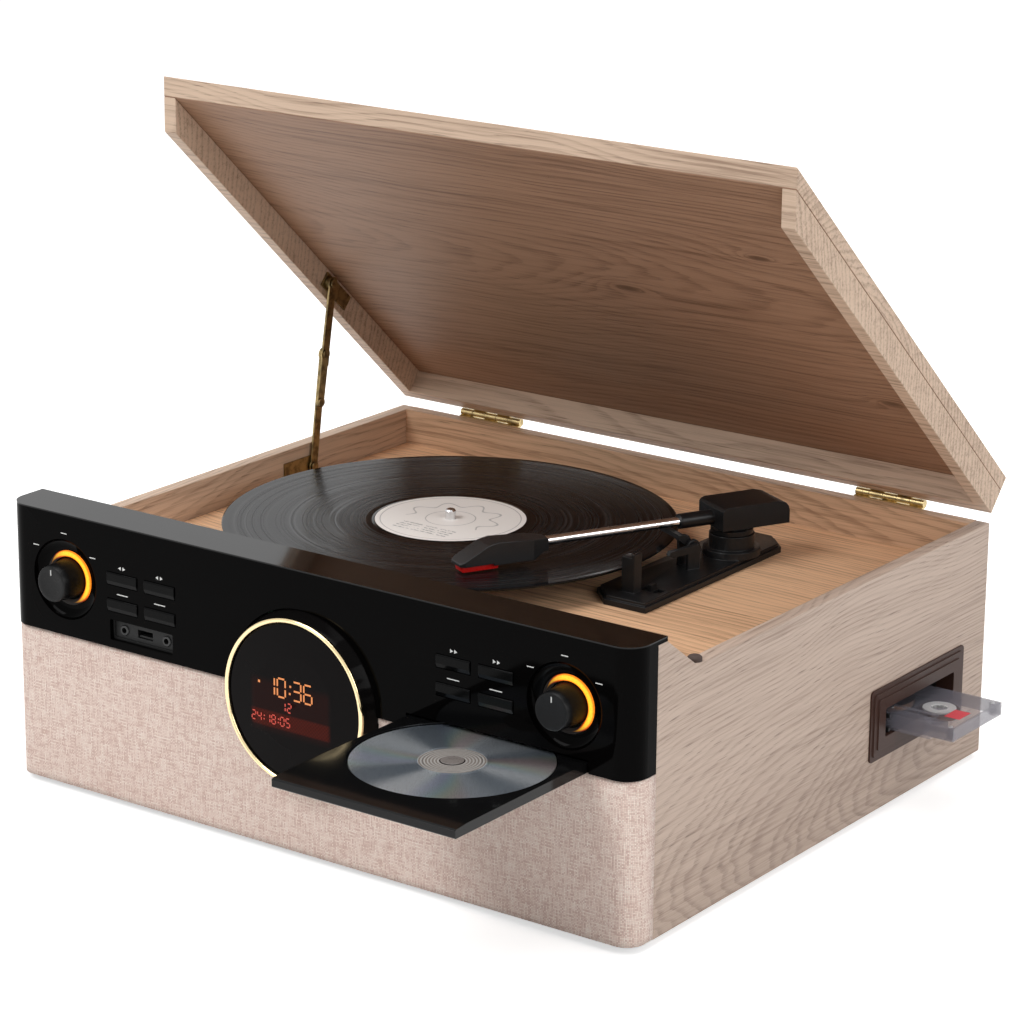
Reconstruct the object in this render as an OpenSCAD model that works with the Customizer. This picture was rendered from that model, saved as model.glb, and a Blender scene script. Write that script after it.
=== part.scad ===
/* [Cabinet] */
// Width over the side boards
body_w = 484; // [470:2:540]
// Depth from the grille cloth to the rear board
body_d = 412; // [400:2:460]
// Height of the side boards' rim over the underside
rim_h = 158.5; // [154:0.5:190]
// How far the front stands above the rim
front_rise = 26; // [24:0.5:34]
// Thickness of the side, rear and lid boards
board_t = 10; // [8:0.5:12]
// Thickness of the base board
base_t = 9; // [6:0.5:12]
// Thickness of the turntable deck
deck_t = 9; // [6:0.5:10]
// Depth of the deck below the rim
deck_drop = 25; // [24.5:0.5:29]
// Depth of the front unit, grille and fascia together
front_t = 21.5; // [21.5:0.5:30]
// Radius of the front unit's upright corners
corner_r = 12.5; // [8:0.5:21]
// Level run of the slope behind the fascia
slope_run = 31.5; // [26:0.5:40]
// Thickness of the sloping front rail
rail_t = 8; // [5:0.5:10]

/* [Feet and bumpers] */
// Height of the rubber feet
foot_h = 4; // [3:0.5:8]
// Radius of the rubber feet
foot_r = 9; // [6:0.5:14]
// Distance of a foot's centre from the cabinet's edges
foot_inset = 38; // [30:1:80]
// Height of the rubber bumpers under the lid
bumper_h = 3.2; // [2.2:0.1:3.2]
// Radius of the rubber bumpers
bumper_r = 4.4; // [3:0.1:4.8]

/* [Fascia] */
// Height of the gloss fascia
fascia_h = 81; // [78:0.5:90]
// Wall of the fascia
fascia_t = 3; // [2:0.25:3.5]
// How far the fascia stands proud of the cloth
fascia_proud = 2; // [1:0.25:4]
// Depth of the fascia's top lip
lip_d = 33; // [30:0.5:36]
// Thickness of the grille cloth
cloth_t = 1.5; // [0.8:0.1:2]

/* [Display] */
// Outer radius of the round bezel
bezel_r = 53.7; // [48:0.1:55]
// Width of the bezel's face
bezel_w = 3.2; // [2:0.1:5]
// Height of the display's centre over the fascia's lower edge
display_z = -1; // [-6:0.5:2]
// How far the bezel stands in front of the fascia
display_proud = 10.5; // [8:0.5:20]
// Extra radius of the housing where it meets the fascia
display_flare = 3.8; // [1:0.1:4.5]

/* [Knobs] */
// Distance of a knob's axis from the cabinet's side
knob_inset = 48.5; // [46:0.5:52]
// Height of a knob's axis over the fascia's lower edge
knob_z = 37.5; // [36:0.5:42]
// Radius of a knob's cap
knob_r = 12; // [9:0.25:12.5]
// How far a knob stands in front of the fascia
knob_l = 13; // [8:0.5:20]
// Radius of the dish round a knob
dish_r = 26.5; // [23:0.5:28]
// Depth of the dish
dish_d = 5; // [3:0.25:6]
// Outer radius of the light ring
ring_r = 18; // [16.5:0.25:20]
// Radius of the knob shafts
shaft_r = 3; // [2:0.25:4]

/* [Buttons] */
// Width of a button
button_w = 25; // [18:0.5:27]
// Height of a button
button_h = 8.5; // [6:0.25:11]
// Distance of a group's centre from the knob's axis
button_gap = 64; // [62.5:0.5:71]
// Distance between the columns of a group
button_pitch_x = 31; // [28:0.5:34]
// Height of the lower row over the fascia's lower edge
button_z = 28.5; // [27:0.5:32]
// Distance between the rows
button_pitch_z = 17.5; // [12:0.5:20]
// How far a button stands in front of the fascia
button_proud = 1; // [0.5:0.1:2]
// Travel of a button
button_travel = 1; // [0.5:0.1:1.2]

/* [Front sockets] */
// How far the socket recess lies outside the middle of the left buttons
port_shift = 0.5; // [-10:0.5:10]
// Height of its centre over the fascia's lower edge
port_z = 12; // [11:0.5:12]
// Width of the socket recess
port_w = 52; // [48:1:60]
// Height of the socket recess
port_h = 13.5; // [12:0.5:14]
// Depth of the socket recess
port_d = 4; // [3.5:0.5:14]
// Bore radius of the small round sockets
jack_r = 1.8; // [1.76:0.02:2.2]

/* [Disc tray] */
// Distance of the tray's middle from the cabinet's right side
tray_inset = 97; // [92:0.5:99]
// Width of the tray
tray_w = 130; // [127:0.5:134]
// Thickness of the tray
tray_t = 6.4; // [5.5:0.1:7]
// Length of the tray
tray_l = 200; // [190:1:215]
// How far the tray comes out
tray_out = 126; // [100:1:130]
// Radius of the disc
disc_r = 60; // [60:0.5:60.5]
// Distance from the tray's front edge to the disc's centre
disc_y = 84; // [74:0.5:88]

/* [Cassette] */
// Place of the cassette slot along the side
slot_y = 117.5; // [110:0.5:128]
// Height of the slot's centre over the underside
slot_z = 59; // [50:0.5:62]
// How far the cassette lies below the slot's centre
cassette_drop = 3; // [0:0.25:3]
// Length of the cassette
cassette_l = 100.4; // [98:0.1:102]
// Width of the cassette
cassette_w = 63.8; // [60:0.1:65]
// How far the cassette stands out of the side
cassette_out = 45; // [42:0.5:60]
// How far it can be pushed in from there
cassette_travel = 40; // [20:0.5:41]
// Width of the brown surround
surround_w = 118; // [112:0.5:124]
// Height of the brown surround
surround_h = 48; // [42:0.5:52]

/* [Turntable] */
// Place of the platter's axis across the deck
platter_x = -54; // [-60:0.5:-50]
// Place of the platter's axis along the deck
platter_y = 13; // [8:0.5:18]
// Radius of the platter
platter_r = 99; // [97:0.5:112]
// Radius of the record
record_r = 150.5; // [125:0.5:151]
// Thickness of the record
record_t = 1.8; // [1.2:0.1:2.4]
// Depth of the record's face below the rim
record_drop = 5; // [3:0.5:7]
// Radius of the spindle
spindle_r = 3.6; // [3.5:0.05:3.65]
// How far the spindle stands above the record
spindle_l = 7; // [5:0.5:10]
// Radius of the belt's track under the platter
track_r = 70; // [66:0.5:72]
// Radius of the motor's pulley
pulley_r = 5; // [4:0.25:6]

/* [Tonearm] */
// Place of the arm's pivot across the deck
arm_x = 110; // [109:0.5:112]
// Place of the arm's pivot along the deck
arm_y = 100; // [98:0.5:102]
// Length from the pivot to the stylus
arm_l = 192; // [188:0.5:194]
// Length of the headshell
shell_l = 63; // [56:0.5:68]
// Width of the headshell
shell_w = 17; // [15:0.5:20]
// Angle of the arm from straight ahead
arm_turn = 27.4; // [24:0.2:30]
// Radius of the arm's tube
tube_r = 3; // [2:0.1:3.3]
// Height of the tube's axis above the record
tube_rise = 12.5; // [12:0.5:14]

/* [Lid] */
// Height of the lid
lid_h = 27.4; // [24:0.2:34]
// Gap between the rim and the closed lid
lid_gap = 3.5; // [3.5:0.1:4.5]
// Opening angle at which the stay holds the lid
lid_open = 42.3; // [40:0.1:43]
// Level run of the bevel on the lid's front
bevel_run = 24.7; // [18:0.1:27]
// Distance of the hinge pin behind the rear board
pin_y = 4; // [3.9:0.1:5]
// Length of each hinge
hinge_w = 52; // [30:1:60]
// Distance of each hinge's centre from the middle
hinge_x = 165; // [120:1:190]

/* [Lid stay] */
// Length of the stay's lower arm between its pivots
stay_low = 80; // [80:0.5:81]
// Length of the stay's upper arm between its pivots
stay_up = 50; // [50:0.5:52]
// Length of the upper arm past the knee
stay_tail = 34; // [15:1:36]
// Width of the stay's arms
stay_w = 7; // [5:0.25:8]
// Thickness of the stay's arms and plates
stay_t = 1.5; // [1:0.1:2]
// Place of the lower pivot along the side
stay_y = 86; // [84:0.5:88]

/* [Speakers] */
// Distance of a speaker's axis from the cabinet's side
speaker_inset = 92; // [80:1:120]
// Height of a speaker's axis over the underside
speaker_z = 50; // [49:0.5:52]
// Radius of a speaker's frame
speaker_r = 38; // [28:0.5:39]

/* [Hidden] */
$fn = 64;
fit = 0.3;        // gap between a piece and the piece it slides in or rests beside
run = 0.05;       // radial running clearance of a shaft in its bore

wood = [0.76, 0.62, 0.47];
wood_end = [0.69, 0.55, 0.41];
gloss = [0.03, 0.03, 0.035];
black = [0.07, 0.07, 0.075];
cloth = [0.80, 0.68, 0.60];
brass = [0.62, 0.47, 0.22];
gold = [0.85, 0.72, 0.42];
steel = [0.75, 0.76, 0.78];
rubber = [0.09, 0.08, 0.08];
green = [0.06, 0.26, 0.14];
brown = [0.20, 0.13, 0.10];

// Levels, from the surface that the cabinet stands on
z0 = foot_h;
rim_z = z0 + rim_h;
top_z = rim_z + front_rise;
fascia_z = top_z - fascia_h;
deck_z = rim_z - deck_drop;
floor_z = z0 + base_t;
lip_z = top_z - fascia_t;

// Planes across the depth
cloth_y = -body_d / 2;
rear_y = body_d / 2;
face_y = cloth_y - fascia_proud;
side_y = cloth_y + front_t;
lip_y = face_y + lip_d;
slope_y = lip_y + slope_run;
in_w = body_w - 2 * board_t;
in_y = rear_y - board_t;
side_x = body_w / 2;
knob_x = side_x - knob_inset;
button_x = knob_x - button_gap;
port_x = -button_x - port_shift;
speaker_x = side_x - speaker_inset;

// Display
housing_r = bezel_r - 0.6;
tube_hole_r = housing_r + 2.6;
disp_z = fascia_z + display_z;
lens_r = bezel_r - bezel_w;

// Disc tray: it runs just over the grille's top edge
tray_x = side_x - tray_inset;
tray_z = fascia_z + fit;
slot_top = tray_z + tray_t + 1.5;
tray_y = face_y - tray_out;
tray_recess = 2.2;
disc_t = 1.2;
loader_wall = 5;
loader_top = 2;
loader_roof = deck_z - deck_t - 3.5;
loader_end = face_y + tray_l + 5;
loader_l = loader_end - side_y;

// Cassette
cas_z = z0 + slot_z;
tape_z = cas_z - cassette_drop;
cas_t = 8.7;
cas_head = 12;
cas_x1 = side_x + cassette_out;
cas_x0 = cas_x1 - cassette_l;
mouth_w = 87;
mouth_h = 19;
surround_t = 3;
deck_box_x = cas_x0 - cassette_travel - 8;

// Turntable
record_z = rim_z - record_drop;
mat_t = 2;
platter_top = record_z - record_t - mat_t;
platter_z = deck_z + 2;
track_z = platter_z + 1;
belt_t = 1;
belt_h = 4;
pulley_d = 83;
pulley_turn = 205;
pulley_x = platter_x + pulley_d * cos(pulley_turn);
pulley_y = platter_y + pulley_d * sin(pulley_turn);
motor_r = 13;
motor_h = 22;

// Tonearm, worked out along its own line: the headshell lies towards -Y of the pivot
arm_z = record_z + tube_rise;
plate_t = 6;
plate_z = deck_z + plate_t;
tower_r = 15;
tower_z = arm_z - 12;
yoke_z = tower_z + fit;
shell_tip = 8;
shell_y = -arm_l - shell_tip + shell_l;
shell_base = arm_z - 9;
collar_l = 24;
block_w = 32;
block_y = -16;
block_l = 50;
block_z = arm_z - 6;
block_h = 15.5;
hollow_w = 24;
cue_y = -40;
cue_z = arm_z - 11;
cue_r = 2.4;
cue_gap = 0.8;
rest_turn = 4.3;
rest_l = 106.3;
rest_w = 4;

// Lid, drawn closed and then turned open about the hinge pins
lid_z = rim_z + lid_gap;
lid_top_z = lid_z + lid_h;
lid_front = slope_y + 1.6;
pin_z = rim_z + 2.5;
knuckle_r = 2.7;
pin_r = 1.2;
leaf_t = 1.2;
leaf_h = 14;
pin_line = [0, rear_y + pin_y, pin_z];

// Lid stay, in the plane of the left side board: [along Y, along Z]
stay_x = -side_x + board_t;
low_pivot = [stay_y, deck_z + 8];
lid_pivot_shut = [stay_y - 25.6, lid_z + 10];
function swing(p, a) = let (y = p[0] - pin_line[1], z = p[1] - pin_line[2])
    [pin_line[1] + y * cos(a) - z * sin(a), pin_line[2] + y * sin(a) + z * cos(a)];
lid_pivot = swing(lid_pivot_shut, -lid_open);
// The knee is where the circles of the two arms meet, on the front side
span = norm(lid_pivot - low_pivot);
along = (lid_pivot - low_pivot) / span;
foot_d = (stay_low * stay_low - stay_up * stay_up + span * span) / (2 * span);
rise_d = sqrt(max(stay_low * stay_low - foot_d * foot_d, 0));
knee = low_pivot + along * foot_d + [-along[1], along[0]] * rise_d;
low_angle = atan2(knee[1] - low_pivot[1], knee[0] - low_pivot[0]);
up_angle = atan2(knee[1] - lid_pivot[1], knee[0] - lid_pivot[0]);
rivet_r = 2;

// ---- Shared shapes ----

// Plan outline of the front unit: straight rear, rounded front corners
module plan(w, front, rear, r) intersection() {
    translate([-w / 2, front]) square([w, rear - front]);
    union() {
        translate([-w / 2 + r, front]) square([w - 2 * r, rear - front]);
        translate([-w / 2, front + r]) square([w, rear - front]);
        for (s = [-1, 1]) translate([s * (w / 2 - r), front + r]) circle(r);
    }
}

// Moves a shape onto the fascia, its +Z pointing into the cabinet
module on_face(x, z) translate([x, face_y, z]) rotate([-90, 0, 0]) children();

// Bar with round ends between two points of the plane
module bar(a, b, w) {
    d = b - a;
    translate(a) rotate(atan2(d[1], d[0])) translate([0, -w / 2]) square([norm(d), w]);
    for (p = [a, b]) translate(p) circle(w / 2);
}

// Stands a plane outline up in YZ, t thick from x
module upright(x, t) translate([x, 0, 0]) rotate([90, 0, 90]) linear_extrude(t) children();

// Turns lid pieces from closed to open
module lid_pose() translate(pin_line) rotate([-lid_open, 0, 0]) translate(-pin_line) children();

// Turns tonearm pieces onto the arm's line
module arm_pose() translate([arm_x, arm_y, 0]) rotate([0, 0, -arm_turn]) children();

module rounded(w, h, r) {
    translate([-w / 2 + r, -h / 2]) square([w - 2 * r, h]);
    translate([-w / 2, -h / 2 + r]) square([w, h - 2 * r]);
    for (x = [-1, 1], y = [-1, 1]) translate([x * (w / 2 - r), y * (h / 2 - r)]) circle(r);
}

// ---- Cabinet ----

// Side board with the slope that rises to the fascia
module side_outline() polygon([[side_y, z0], [side_y, lip_z], [lip_y, lip_z], [slope_y, rim_z],
    [rear_y, rim_z], [rear_y, z0]]);

module side_left() color(wood) upright(-side_x, board_t) side_outline();

module side_right() color(wood) difference() {
    upright(side_x - board_t, board_t) side_outline();
    translate([side_x - board_t - 1, slot_y - (surround_w - 8) / 2, cas_z - (surround_h - 8) / 2])
        cube([board_t + 2, surround_w - 8, surround_h - 8]);
}

sockets_x = side_x - 122;
sockets_w = 116;
sockets_h = 44;
sockets_z = z0 + 48;
inlet_x = -32;

module rear_panel() color(wood) difference() {
    translate([-in_w / 2, in_y, z0]) cube([in_w, board_t, rim_h]);
    translate([sockets_x - sockets_w / 2 + 8, in_y - 1, sockets_z - sockets_h / 2 + 8])
        cube([sockets_w - 16, board_t + 2, sockets_h - 16]);
    for (i = [0:7]) translate([-150 + i * 12, in_y - 1, z0 + 40]) vent();
}

// One vent slot with round ends
module vent() rotate([-90, 0, 0]) linear_extrude(board_t + 2) bar([0, 0], [0, -36], 4);

module base_panel() color(wood_end) difference() {
    translate([-in_w / 2, side_y, z0]) cube([in_w, in_y - side_y, base_t]);
    for (i = [0:7]) translate([-150 + i * 12, 60, z0 - 1]) linear_extrude(base_t + 2)
        bar([0, 0], [0, 40], 4);
}

// Sloping rail behind the fascia and the board under it that closes the record well
module front_rail() color(wood) upright(-in_w / 2, in_w) polygon([
    [side_y, lip_z], [lip_y, lip_z], [slope_y, rim_z], [slope_y, deck_z - deck_t],
    [slope_y - rail_t, deck_z - deck_t], [slope_y - rail_t, rim_z - rail_t / 2],
    [lip_y - rail_t / 2, lip_z - rail_t], [side_y, lip_z - rail_t]]);

module deck_board() color(wood) difference() {
    translate([-in_w / 2, slope_y, deck_z - deck_t]) cube([in_w, in_y - slope_y, deck_t]);
    translate([platter_x, platter_y, deck_z - deck_t - 1]) cylinder(h = deck_t + 2, r = 7);
    translate([pulley_x, pulley_y, deck_z - deck_t - 1]) cylinder(h = deck_t + 2, r = 9);
}

module feet() color(rubber) for (x = [-1, 1], y = [-1, 1])
    translate([x * (side_x - foot_inset), y * (body_d / 2 - foot_inset), 0]) rotate_extrude()
        polygon([[0, 0], [foot_r - 1, 0], [foot_r, 1], [foot_r + 0.6, foot_h], [0, foot_h]]);

module bumpers() color(brown) for (s = [-1, 1])
    translate([s * (side_x - board_t / 2), slope_y + bumper_r + 0.6, rim_z]) rotate_extrude()
        polygon([[0, 0], [bumper_r, 0], [bumper_r, bumper_h - 1], [bumper_r - 1, bumper_h],
            [0, bumper_h]]);

// ---- Front unit ----

module display_hole(r) translate([0, face_y - 20, disp_z]) rotate([-90, 0, 0])
    cylinder(h = front_t + 40, r = r);

module grille_frame() color(black) difference() {
    translate([0, 0, z0]) linear_extrude(fascia_z - z0)
        plan(body_w - 2 * cloth_t, cloth_y + cloth_t, side_y, corner_r - cloth_t);
    display_hole(tube_hole_r + fit);
    for (s = [-1, 1]) translate([s * speaker_x, cloth_y - 1, z0 + speaker_z]) rotate([-90, 0, 0])
        cylinder(h = front_t + 2, r = speaker_r - 4);
}

module grille_cloth() color(cloth) difference() {
    translate([0, 0, z0]) linear_extrude(fascia_z - z0) difference() {
        plan(body_w, cloth_y, side_y, corner_r);
        plan(body_w - 2 * cloth_t, cloth_y + cloth_t, side_y + 1, corner_r - cloth_t);
    }
    display_hole(tube_hole_r + fit);
}

// Columns and rows of one group of four buttons, numbered down the columns
function button_at(s, i) = [s * button_x + (floor(i / 2) - 0.5) * button_pitch_x,
    fascia_z + button_z + (i % 2 == 0 ? button_pitch_z : 0)];

post_x = [button_x - 59.5, button_x + 26.5];
post_z = lip_z - 11;
board_d = 10;

// Bowl round a knob, with a flat floor for the light ring
module dish(hole) rotate_extrude() polygon(concat(
    [for (a = [0:15:90]) [ring_r + fit + (dish_r - ring_r - fit) * cos(a), dish_d * sin(a)]],
    [[hole, dish_d], [hole, dish_d + 1.8]],
    [for (a = [90:-15:0]) [ring_r + fit + (dish_r - ring_r - fit) * cos(a) + 1.8 * cos(a),
        (dish_d + 1.8) * sin(a)]]));

knob_hole = knob_r + 1.8;

module fascia() color(gloss) {
    difference() {
        union() {
            translate([0, 0, fascia_z]) linear_extrude(lip_z - fascia_z) difference() {
                plan(body_w, face_y, side_y, corner_r + fascia_proud);
                plan(body_w - 2 * fascia_t, face_y + fascia_t, side_y + 1,
                    corner_r + fascia_proud - fascia_t);
            }
            translate([0, 0, lip_z]) linear_extrude(fascia_t)
                plan(body_w, face_y, lip_y, corner_r + fascia_proud);
        }
        display_hole(housing_r + display_flare + fit);
        for (s = [-1, 1]) on_face(s * knob_x, fascia_z + knob_z) translate([0, 0, -1])
            cylinder(h = fascia_t + 2, r = dish_r);
        for (s = [-1, 1], i = [0:3]) translate([button_at(s, i)[0], face_y - 1, button_at(s, i)[1]])
            rotate([-90, 0, 0]) linear_extrude(fascia_t + 2)
                rounded(button_w + 2 * fit, button_h + 2 * fit, 0.5);
        translate([port_x, face_y - 1, fascia_z + port_z]) rotate([-90, 0, 0])
            linear_extrude(fascia_t + 2) rounded(port_w, port_h, 1);
        translate([tray_x - tray_w / 2 - 1, face_y - 1, fascia_z - 1])
            cube([tray_w + 2, fascia_t + 2, slot_top - fascia_z + 1]);
    }
    for (s = [-1, 1]) on_face(s * knob_x, fascia_z + knob_z) dish(knob_hole);
    for (s = [-1, 1], x = post_x) on_face(s * x, post_z) translate([0, 0, fascia_t / 2])
        cylinder(h = board_d - fascia_t / 2, r = 3);
}

// Cup of the display: flared skirt in front, tube through the fascia, flange behind the frame
module display_housing() color(gloss) on_face(0, disp_z) rotate_extrude() polygon([
    [lens_r - 2, -display_proud + 4.5], [lens_r + fit, -display_proud + 4.5],
    [lens_r + fit, -display_proud + 2.5], [housing_r, -display_proud + 2.5],
    [housing_r + 1, -display_proud / 2], [housing_r + display_flare, fascia_proud - fit],
    [tube_hole_r, fascia_proud - fit], [tube_hole_r, fascia_proud + front_t],
    [tube_hole_r + 4, fascia_proud + front_t], [tube_hole_r + 4, fascia_proud + front_t + 2],
    [lens_r - 2, fascia_proud + front_t + 2]]);

module display_bezel() color(gold) on_face(0, disp_z) rotate_extrude() polygon([
    [lens_r + fit, -display_proud + 2.5], [lens_r + fit, -display_proud + 0.8],
    [lens_r + 1.2, -display_proud], [bezel_r - 0.8, -display_proud],
    [bezel_r, -display_proud + 0.8], [bezel_r, -display_proud + 2.5]]);

// Slightly domed cover glass
module display_lens() color([0.12, 0.05, 0.04, 0.8]) on_face(0, disp_z) rotate_extrude()
    polygon([[0, -display_proud + 0.7], [lens_r * 0.6, -display_proud + 1],
        [lens_r - 1, -display_proud + 2], [lens_r, -display_proud + 2.6],
        [lens_r, -display_proud + 4.5], [0, -display_proud + 4.5]]);

// Key board behind the fascia, with its switches, the two control bushes and the display unit
module control_board() {
    color(green) difference() {
        translate([-side_x + 20, face_y + board_d, fascia_z + 20.5])
            cube([body_w - 40, 1.6, lip_z - fascia_z - 28]);
        display_hole(tube_hole_r + 1.5);
        for (s = [-1, 1]) on_face(s * knob_x, fascia_z + knob_z)
            cylinder(h = 40, r = shaft_r + run);
    }
    color(black) for (s = [-1, 1], i = [0:3]) on_face(button_at(s, i)[0], button_at(s, i)[1])
        translate([-3, -2.5, 7 + button_travel + fit]) cube([6, 5, board_d - 7 - button_travel - fit]);
    color(steel) for (s = [-1, 1]) on_face(s * knob_x, fascia_z + knob_z) difference() {
        translate([0, 0, dish_d + 3.5]) cylinder(h = 16 - dish_d, r = shaft_r + 2.5);
        cylinder(h = 40, r = shaft_r + run);
    }
    color([0.2, 0.04, 0.02]) on_face(0, disp_z) translate([0, 0, -display_proud + 4.5])
        cylinder(h = display_proud + 10, r = lens_r - 2 - fit);
}

module light_rings() color([1, 0.55, 0.05]) for (s = [-1, 1]) on_face(s * knob_x, fascia_z + knob_z)
    rotate_extrude() polygon([[knob_hole + 0.2, dish_d], [knob_hole + 0.2, dish_d - 1],
        [ring_r - 1, dish_d - 1.6], [ring_r, dish_d - 1.2], [ring_r, dish_d]]);

// Block behind the fascia with the recess, two round sockets and the flat one between them
module port_pocket() {
    wall = 1.4;
    jack_l = 10;
    color(black) translate([port_x, face_y, fascia_z + port_z]) rotate([-90, 0, 0]) difference() {
        union() {
            translate([0, 0, fascia_t]) linear_extrude(port_d + jack_l - fascia_t)
                rounded(port_w, port_h, 1);
            translate([0, 0, fascia_t]) linear_extrude(1.2) rounded(port_w + 2, port_h + 1, 1);
        }
        translate([0, 0, -1]) linear_extrude(port_d + 1)
            rounded(port_w - 2 * wall, port_h - 2 * wall, 1);
        for (x = [-17, 18]) translate([x, 0, port_d - 1]) cylinder(h = jack_l + 2, r = jack_r);
        translate([-6.2, -2.7, port_d - 1]) cube([12.4, 5.4, jack_l]);
    }
    color(steel) translate([port_x, face_y, fascia_z + port_z]) rotate([-90, 0, 0])
        translate([-5.5, 1, port_d + 1]) cube([11, 1.2, jack_l - 2]);
}

// Cap with a flat top, a waisted skirt and the shaft behind it
module knob() on_face(0, 0) rotate_extrude() polygon([[0, -knob_l], [knob_r - 1.2, -knob_l],
    [knob_r, -knob_l + 1.2], [knob_r + 0.4, -1], [knob_r + 1.2, dish_d - 1.8],
    [knob_r + 1.2, dish_d + 1], [shaft_r, dish_d + 1], [shaft_r, dish_d + 18],
    [0, dish_d + 18]]);

module knob_left() color(black) translate([-knob_x, 0, fascia_z + knob_z]) knob();
module knob_right() color(black) translate([knob_x, 0, fascia_z + knob_z]) knob();

// Key cap with a sloping lower half
module button(s, i) color(gloss) translate([button_at(s, i)[0] - button_w / 2, face_y, button_at(s, i)[1]])
    rotate([90, 0, 90]) linear_extrude(button_w) polygon([[7, -button_h / 2], [0, -button_h / 2],
        [-button_proud, -button_h / 6], [-button_proud, button_h / 2 - 0.6],
        [-button_proud + 0.6, button_h / 2], [7, button_h / 2]]);

// ---- Speakers and electronics ----

module speakers() for (s = [-1, 1]) translate([s * speaker_x, side_y, z0 + speaker_z]) rotate([-90, 0, 0]) {
    color(black) rotate_extrude() polygon([[speaker_r - 5, 0], [speaker_r, 0], [speaker_r, 3],
        [speaker_r - 4, 4], [22, 20], [22, 22], [20, 22], [20, 20], [speaker_r - 6, 3]]);
    color([0.15, 0.15, 0.16]) rotate_extrude() polygon([[0, 10], [9, 9], [10, 13],
        [speaker_r - 8, 1.5], [speaker_r - 5, 0], [speaker_r - 6, 3], [20, 17], [10, 20], [0, 20]]);
    color(steel) translate([0, 0, 22]) cylinder(h = 14, r = 26);
    color(black) translate([0, 0, 20]) cylinder(h = 2, r = 22);
}

// Main circuit board on four posts, with its heat sink and three capacitors
pcb_w = 150;
pcb_d = 140;
pcb_x = -side_x + 142;
pcb_y = in_y - 186;
post_h = 8;
sink_w = 80;
sink_d = 26;
sink_h = 34;
fins = 7;
module main_board() {
    pcb_z = floor_z + post_h;
    color(black) for (x = [10, pcb_w - 10], y = [10, pcb_d - 10])
        translate([pcb_x + x, pcb_y + y, floor_z]) cylinder(h = post_h, r = 4);
    color(green) translate([pcb_x, pcb_y, pcb_z]) cube([pcb_w, pcb_d, 1.6]);
    color(steel) translate([pcb_x + 40, pcb_y + pcb_d - sink_d - 14, pcb_z + 1.6]) difference() {
        cube([sink_w, sink_d, sink_h]);
        for (i = [0:fins - 1]) translate([3 + i * (sink_w - 3) / fins, -1, 6])
            cube([(sink_w - 3) / fins - 3, sink_d + 2, sink_h]);
    }
    color(black) for (x = [20, 50, 130]) translate([pcb_x + x, pcb_y + 30, pcb_z + 1.6])
        cylinder(h = 24, r = 8);
}

// Mains transformer on its foot plate, with the winding on its front
unit_inset = 81;
unit_back = 106;
unit_w = 60;
unit_d = 48;
unit_h = 50;
module power_unit() {
    x = -side_x + unit_inset;
    y = in_y - unit_back;
    foot_t = 3;
    winding_d = 6;
    color(steel) translate([x - unit_w / 2 - 9, y, floor_z]) cube([unit_w + 18, unit_d + 4, foot_t]);
    color([0.25, 0.22, 0.2]) translate([x - unit_w / 2, y + 2, floor_z + foot_t])
        cube([unit_w, unit_d, unit_h]);
    color([0.55, 0.35, 0.12]) translate([x - unit_w / 2 + 7, y + 2 - winding_d, floor_z + unit_h * 0.22])
        cube([unit_w - 14, winding_d, unit_h * 0.56]);
}

// Plate on the rear board with the mains inlet, two line sockets and the aerial outlet
line_r = 4.15;
module rear_sockets() translate([sockets_x, rear_y, sockets_z]) rotate([-90, 0, 0]) {
    color(black) difference() {
        union() {
            linear_extrude(1.6) rounded(sockets_w, sockets_h, 4);
            translate([inlet_x, 0, -16]) linear_extrude(16) rounded(34, 24, 2);
        }
        translate([inlet_x, 0, -12]) linear_extrude(20) bar([-4.2, 0], [4.2, 0], 8.4);
    }
    color(steel) for (s = [-1, 1]) translate([inlet_x + s * 4.2, 0, -12]) cylinder(h = 9, r = 1.2);
    for (x = [10, 28]) translate([x, 0, 1.6]) {
        color(steel) difference() {
            cylinder(h = 9, r = line_r);
            translate([0, 0, 1.5]) cylinder(h = 9, r = 1.65);
        }
        color(black) difference() {
            cylinder(h = 1.2, r = 7);
            translate([0, 0, -1]) cylinder(h = 4, r = line_r);
        }
    }
    color(rubber) translate([46, 0, 1.6]) difference() {
        cylinder(h = 3, r = 4);
        translate([0, 0, 1]) cylinder(h = 4, r = 1.3);
    }
}

// ---- Disc player ----

module cd_loader() color(black) {
    ix = tray_w / 2 + fit;
    iz = tray_z - fit;
    difference() {
        translate([tray_x - ix - loader_wall, side_y + 0.5, iz - 3])
            cube([2 * (ix + loader_wall), loader_l - 0.5, loader_roof - iz + 3 + loader_top]);
        translate([tray_x - ix, side_y - 1, iz]) cube([2 * ix, loader_l - 3, loader_roof - iz]);
        translate([tray_x, face_y + disc_y, loader_roof - 1]) cylinder(h = loader_top + 2, r = 20);
        translate([tray_x - 30, side_y + 60, iz - 4]) cube([60, 90, 5]);
    }
    for (x = [-1, 1], y = [12, loader_l - 12]) translate([tray_x + x * (ix - 6), side_y + y,
        loader_roof + loader_top]) cylinder(h = deck_z - deck_t - loader_roof - loader_top, r = 5);
}

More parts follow.
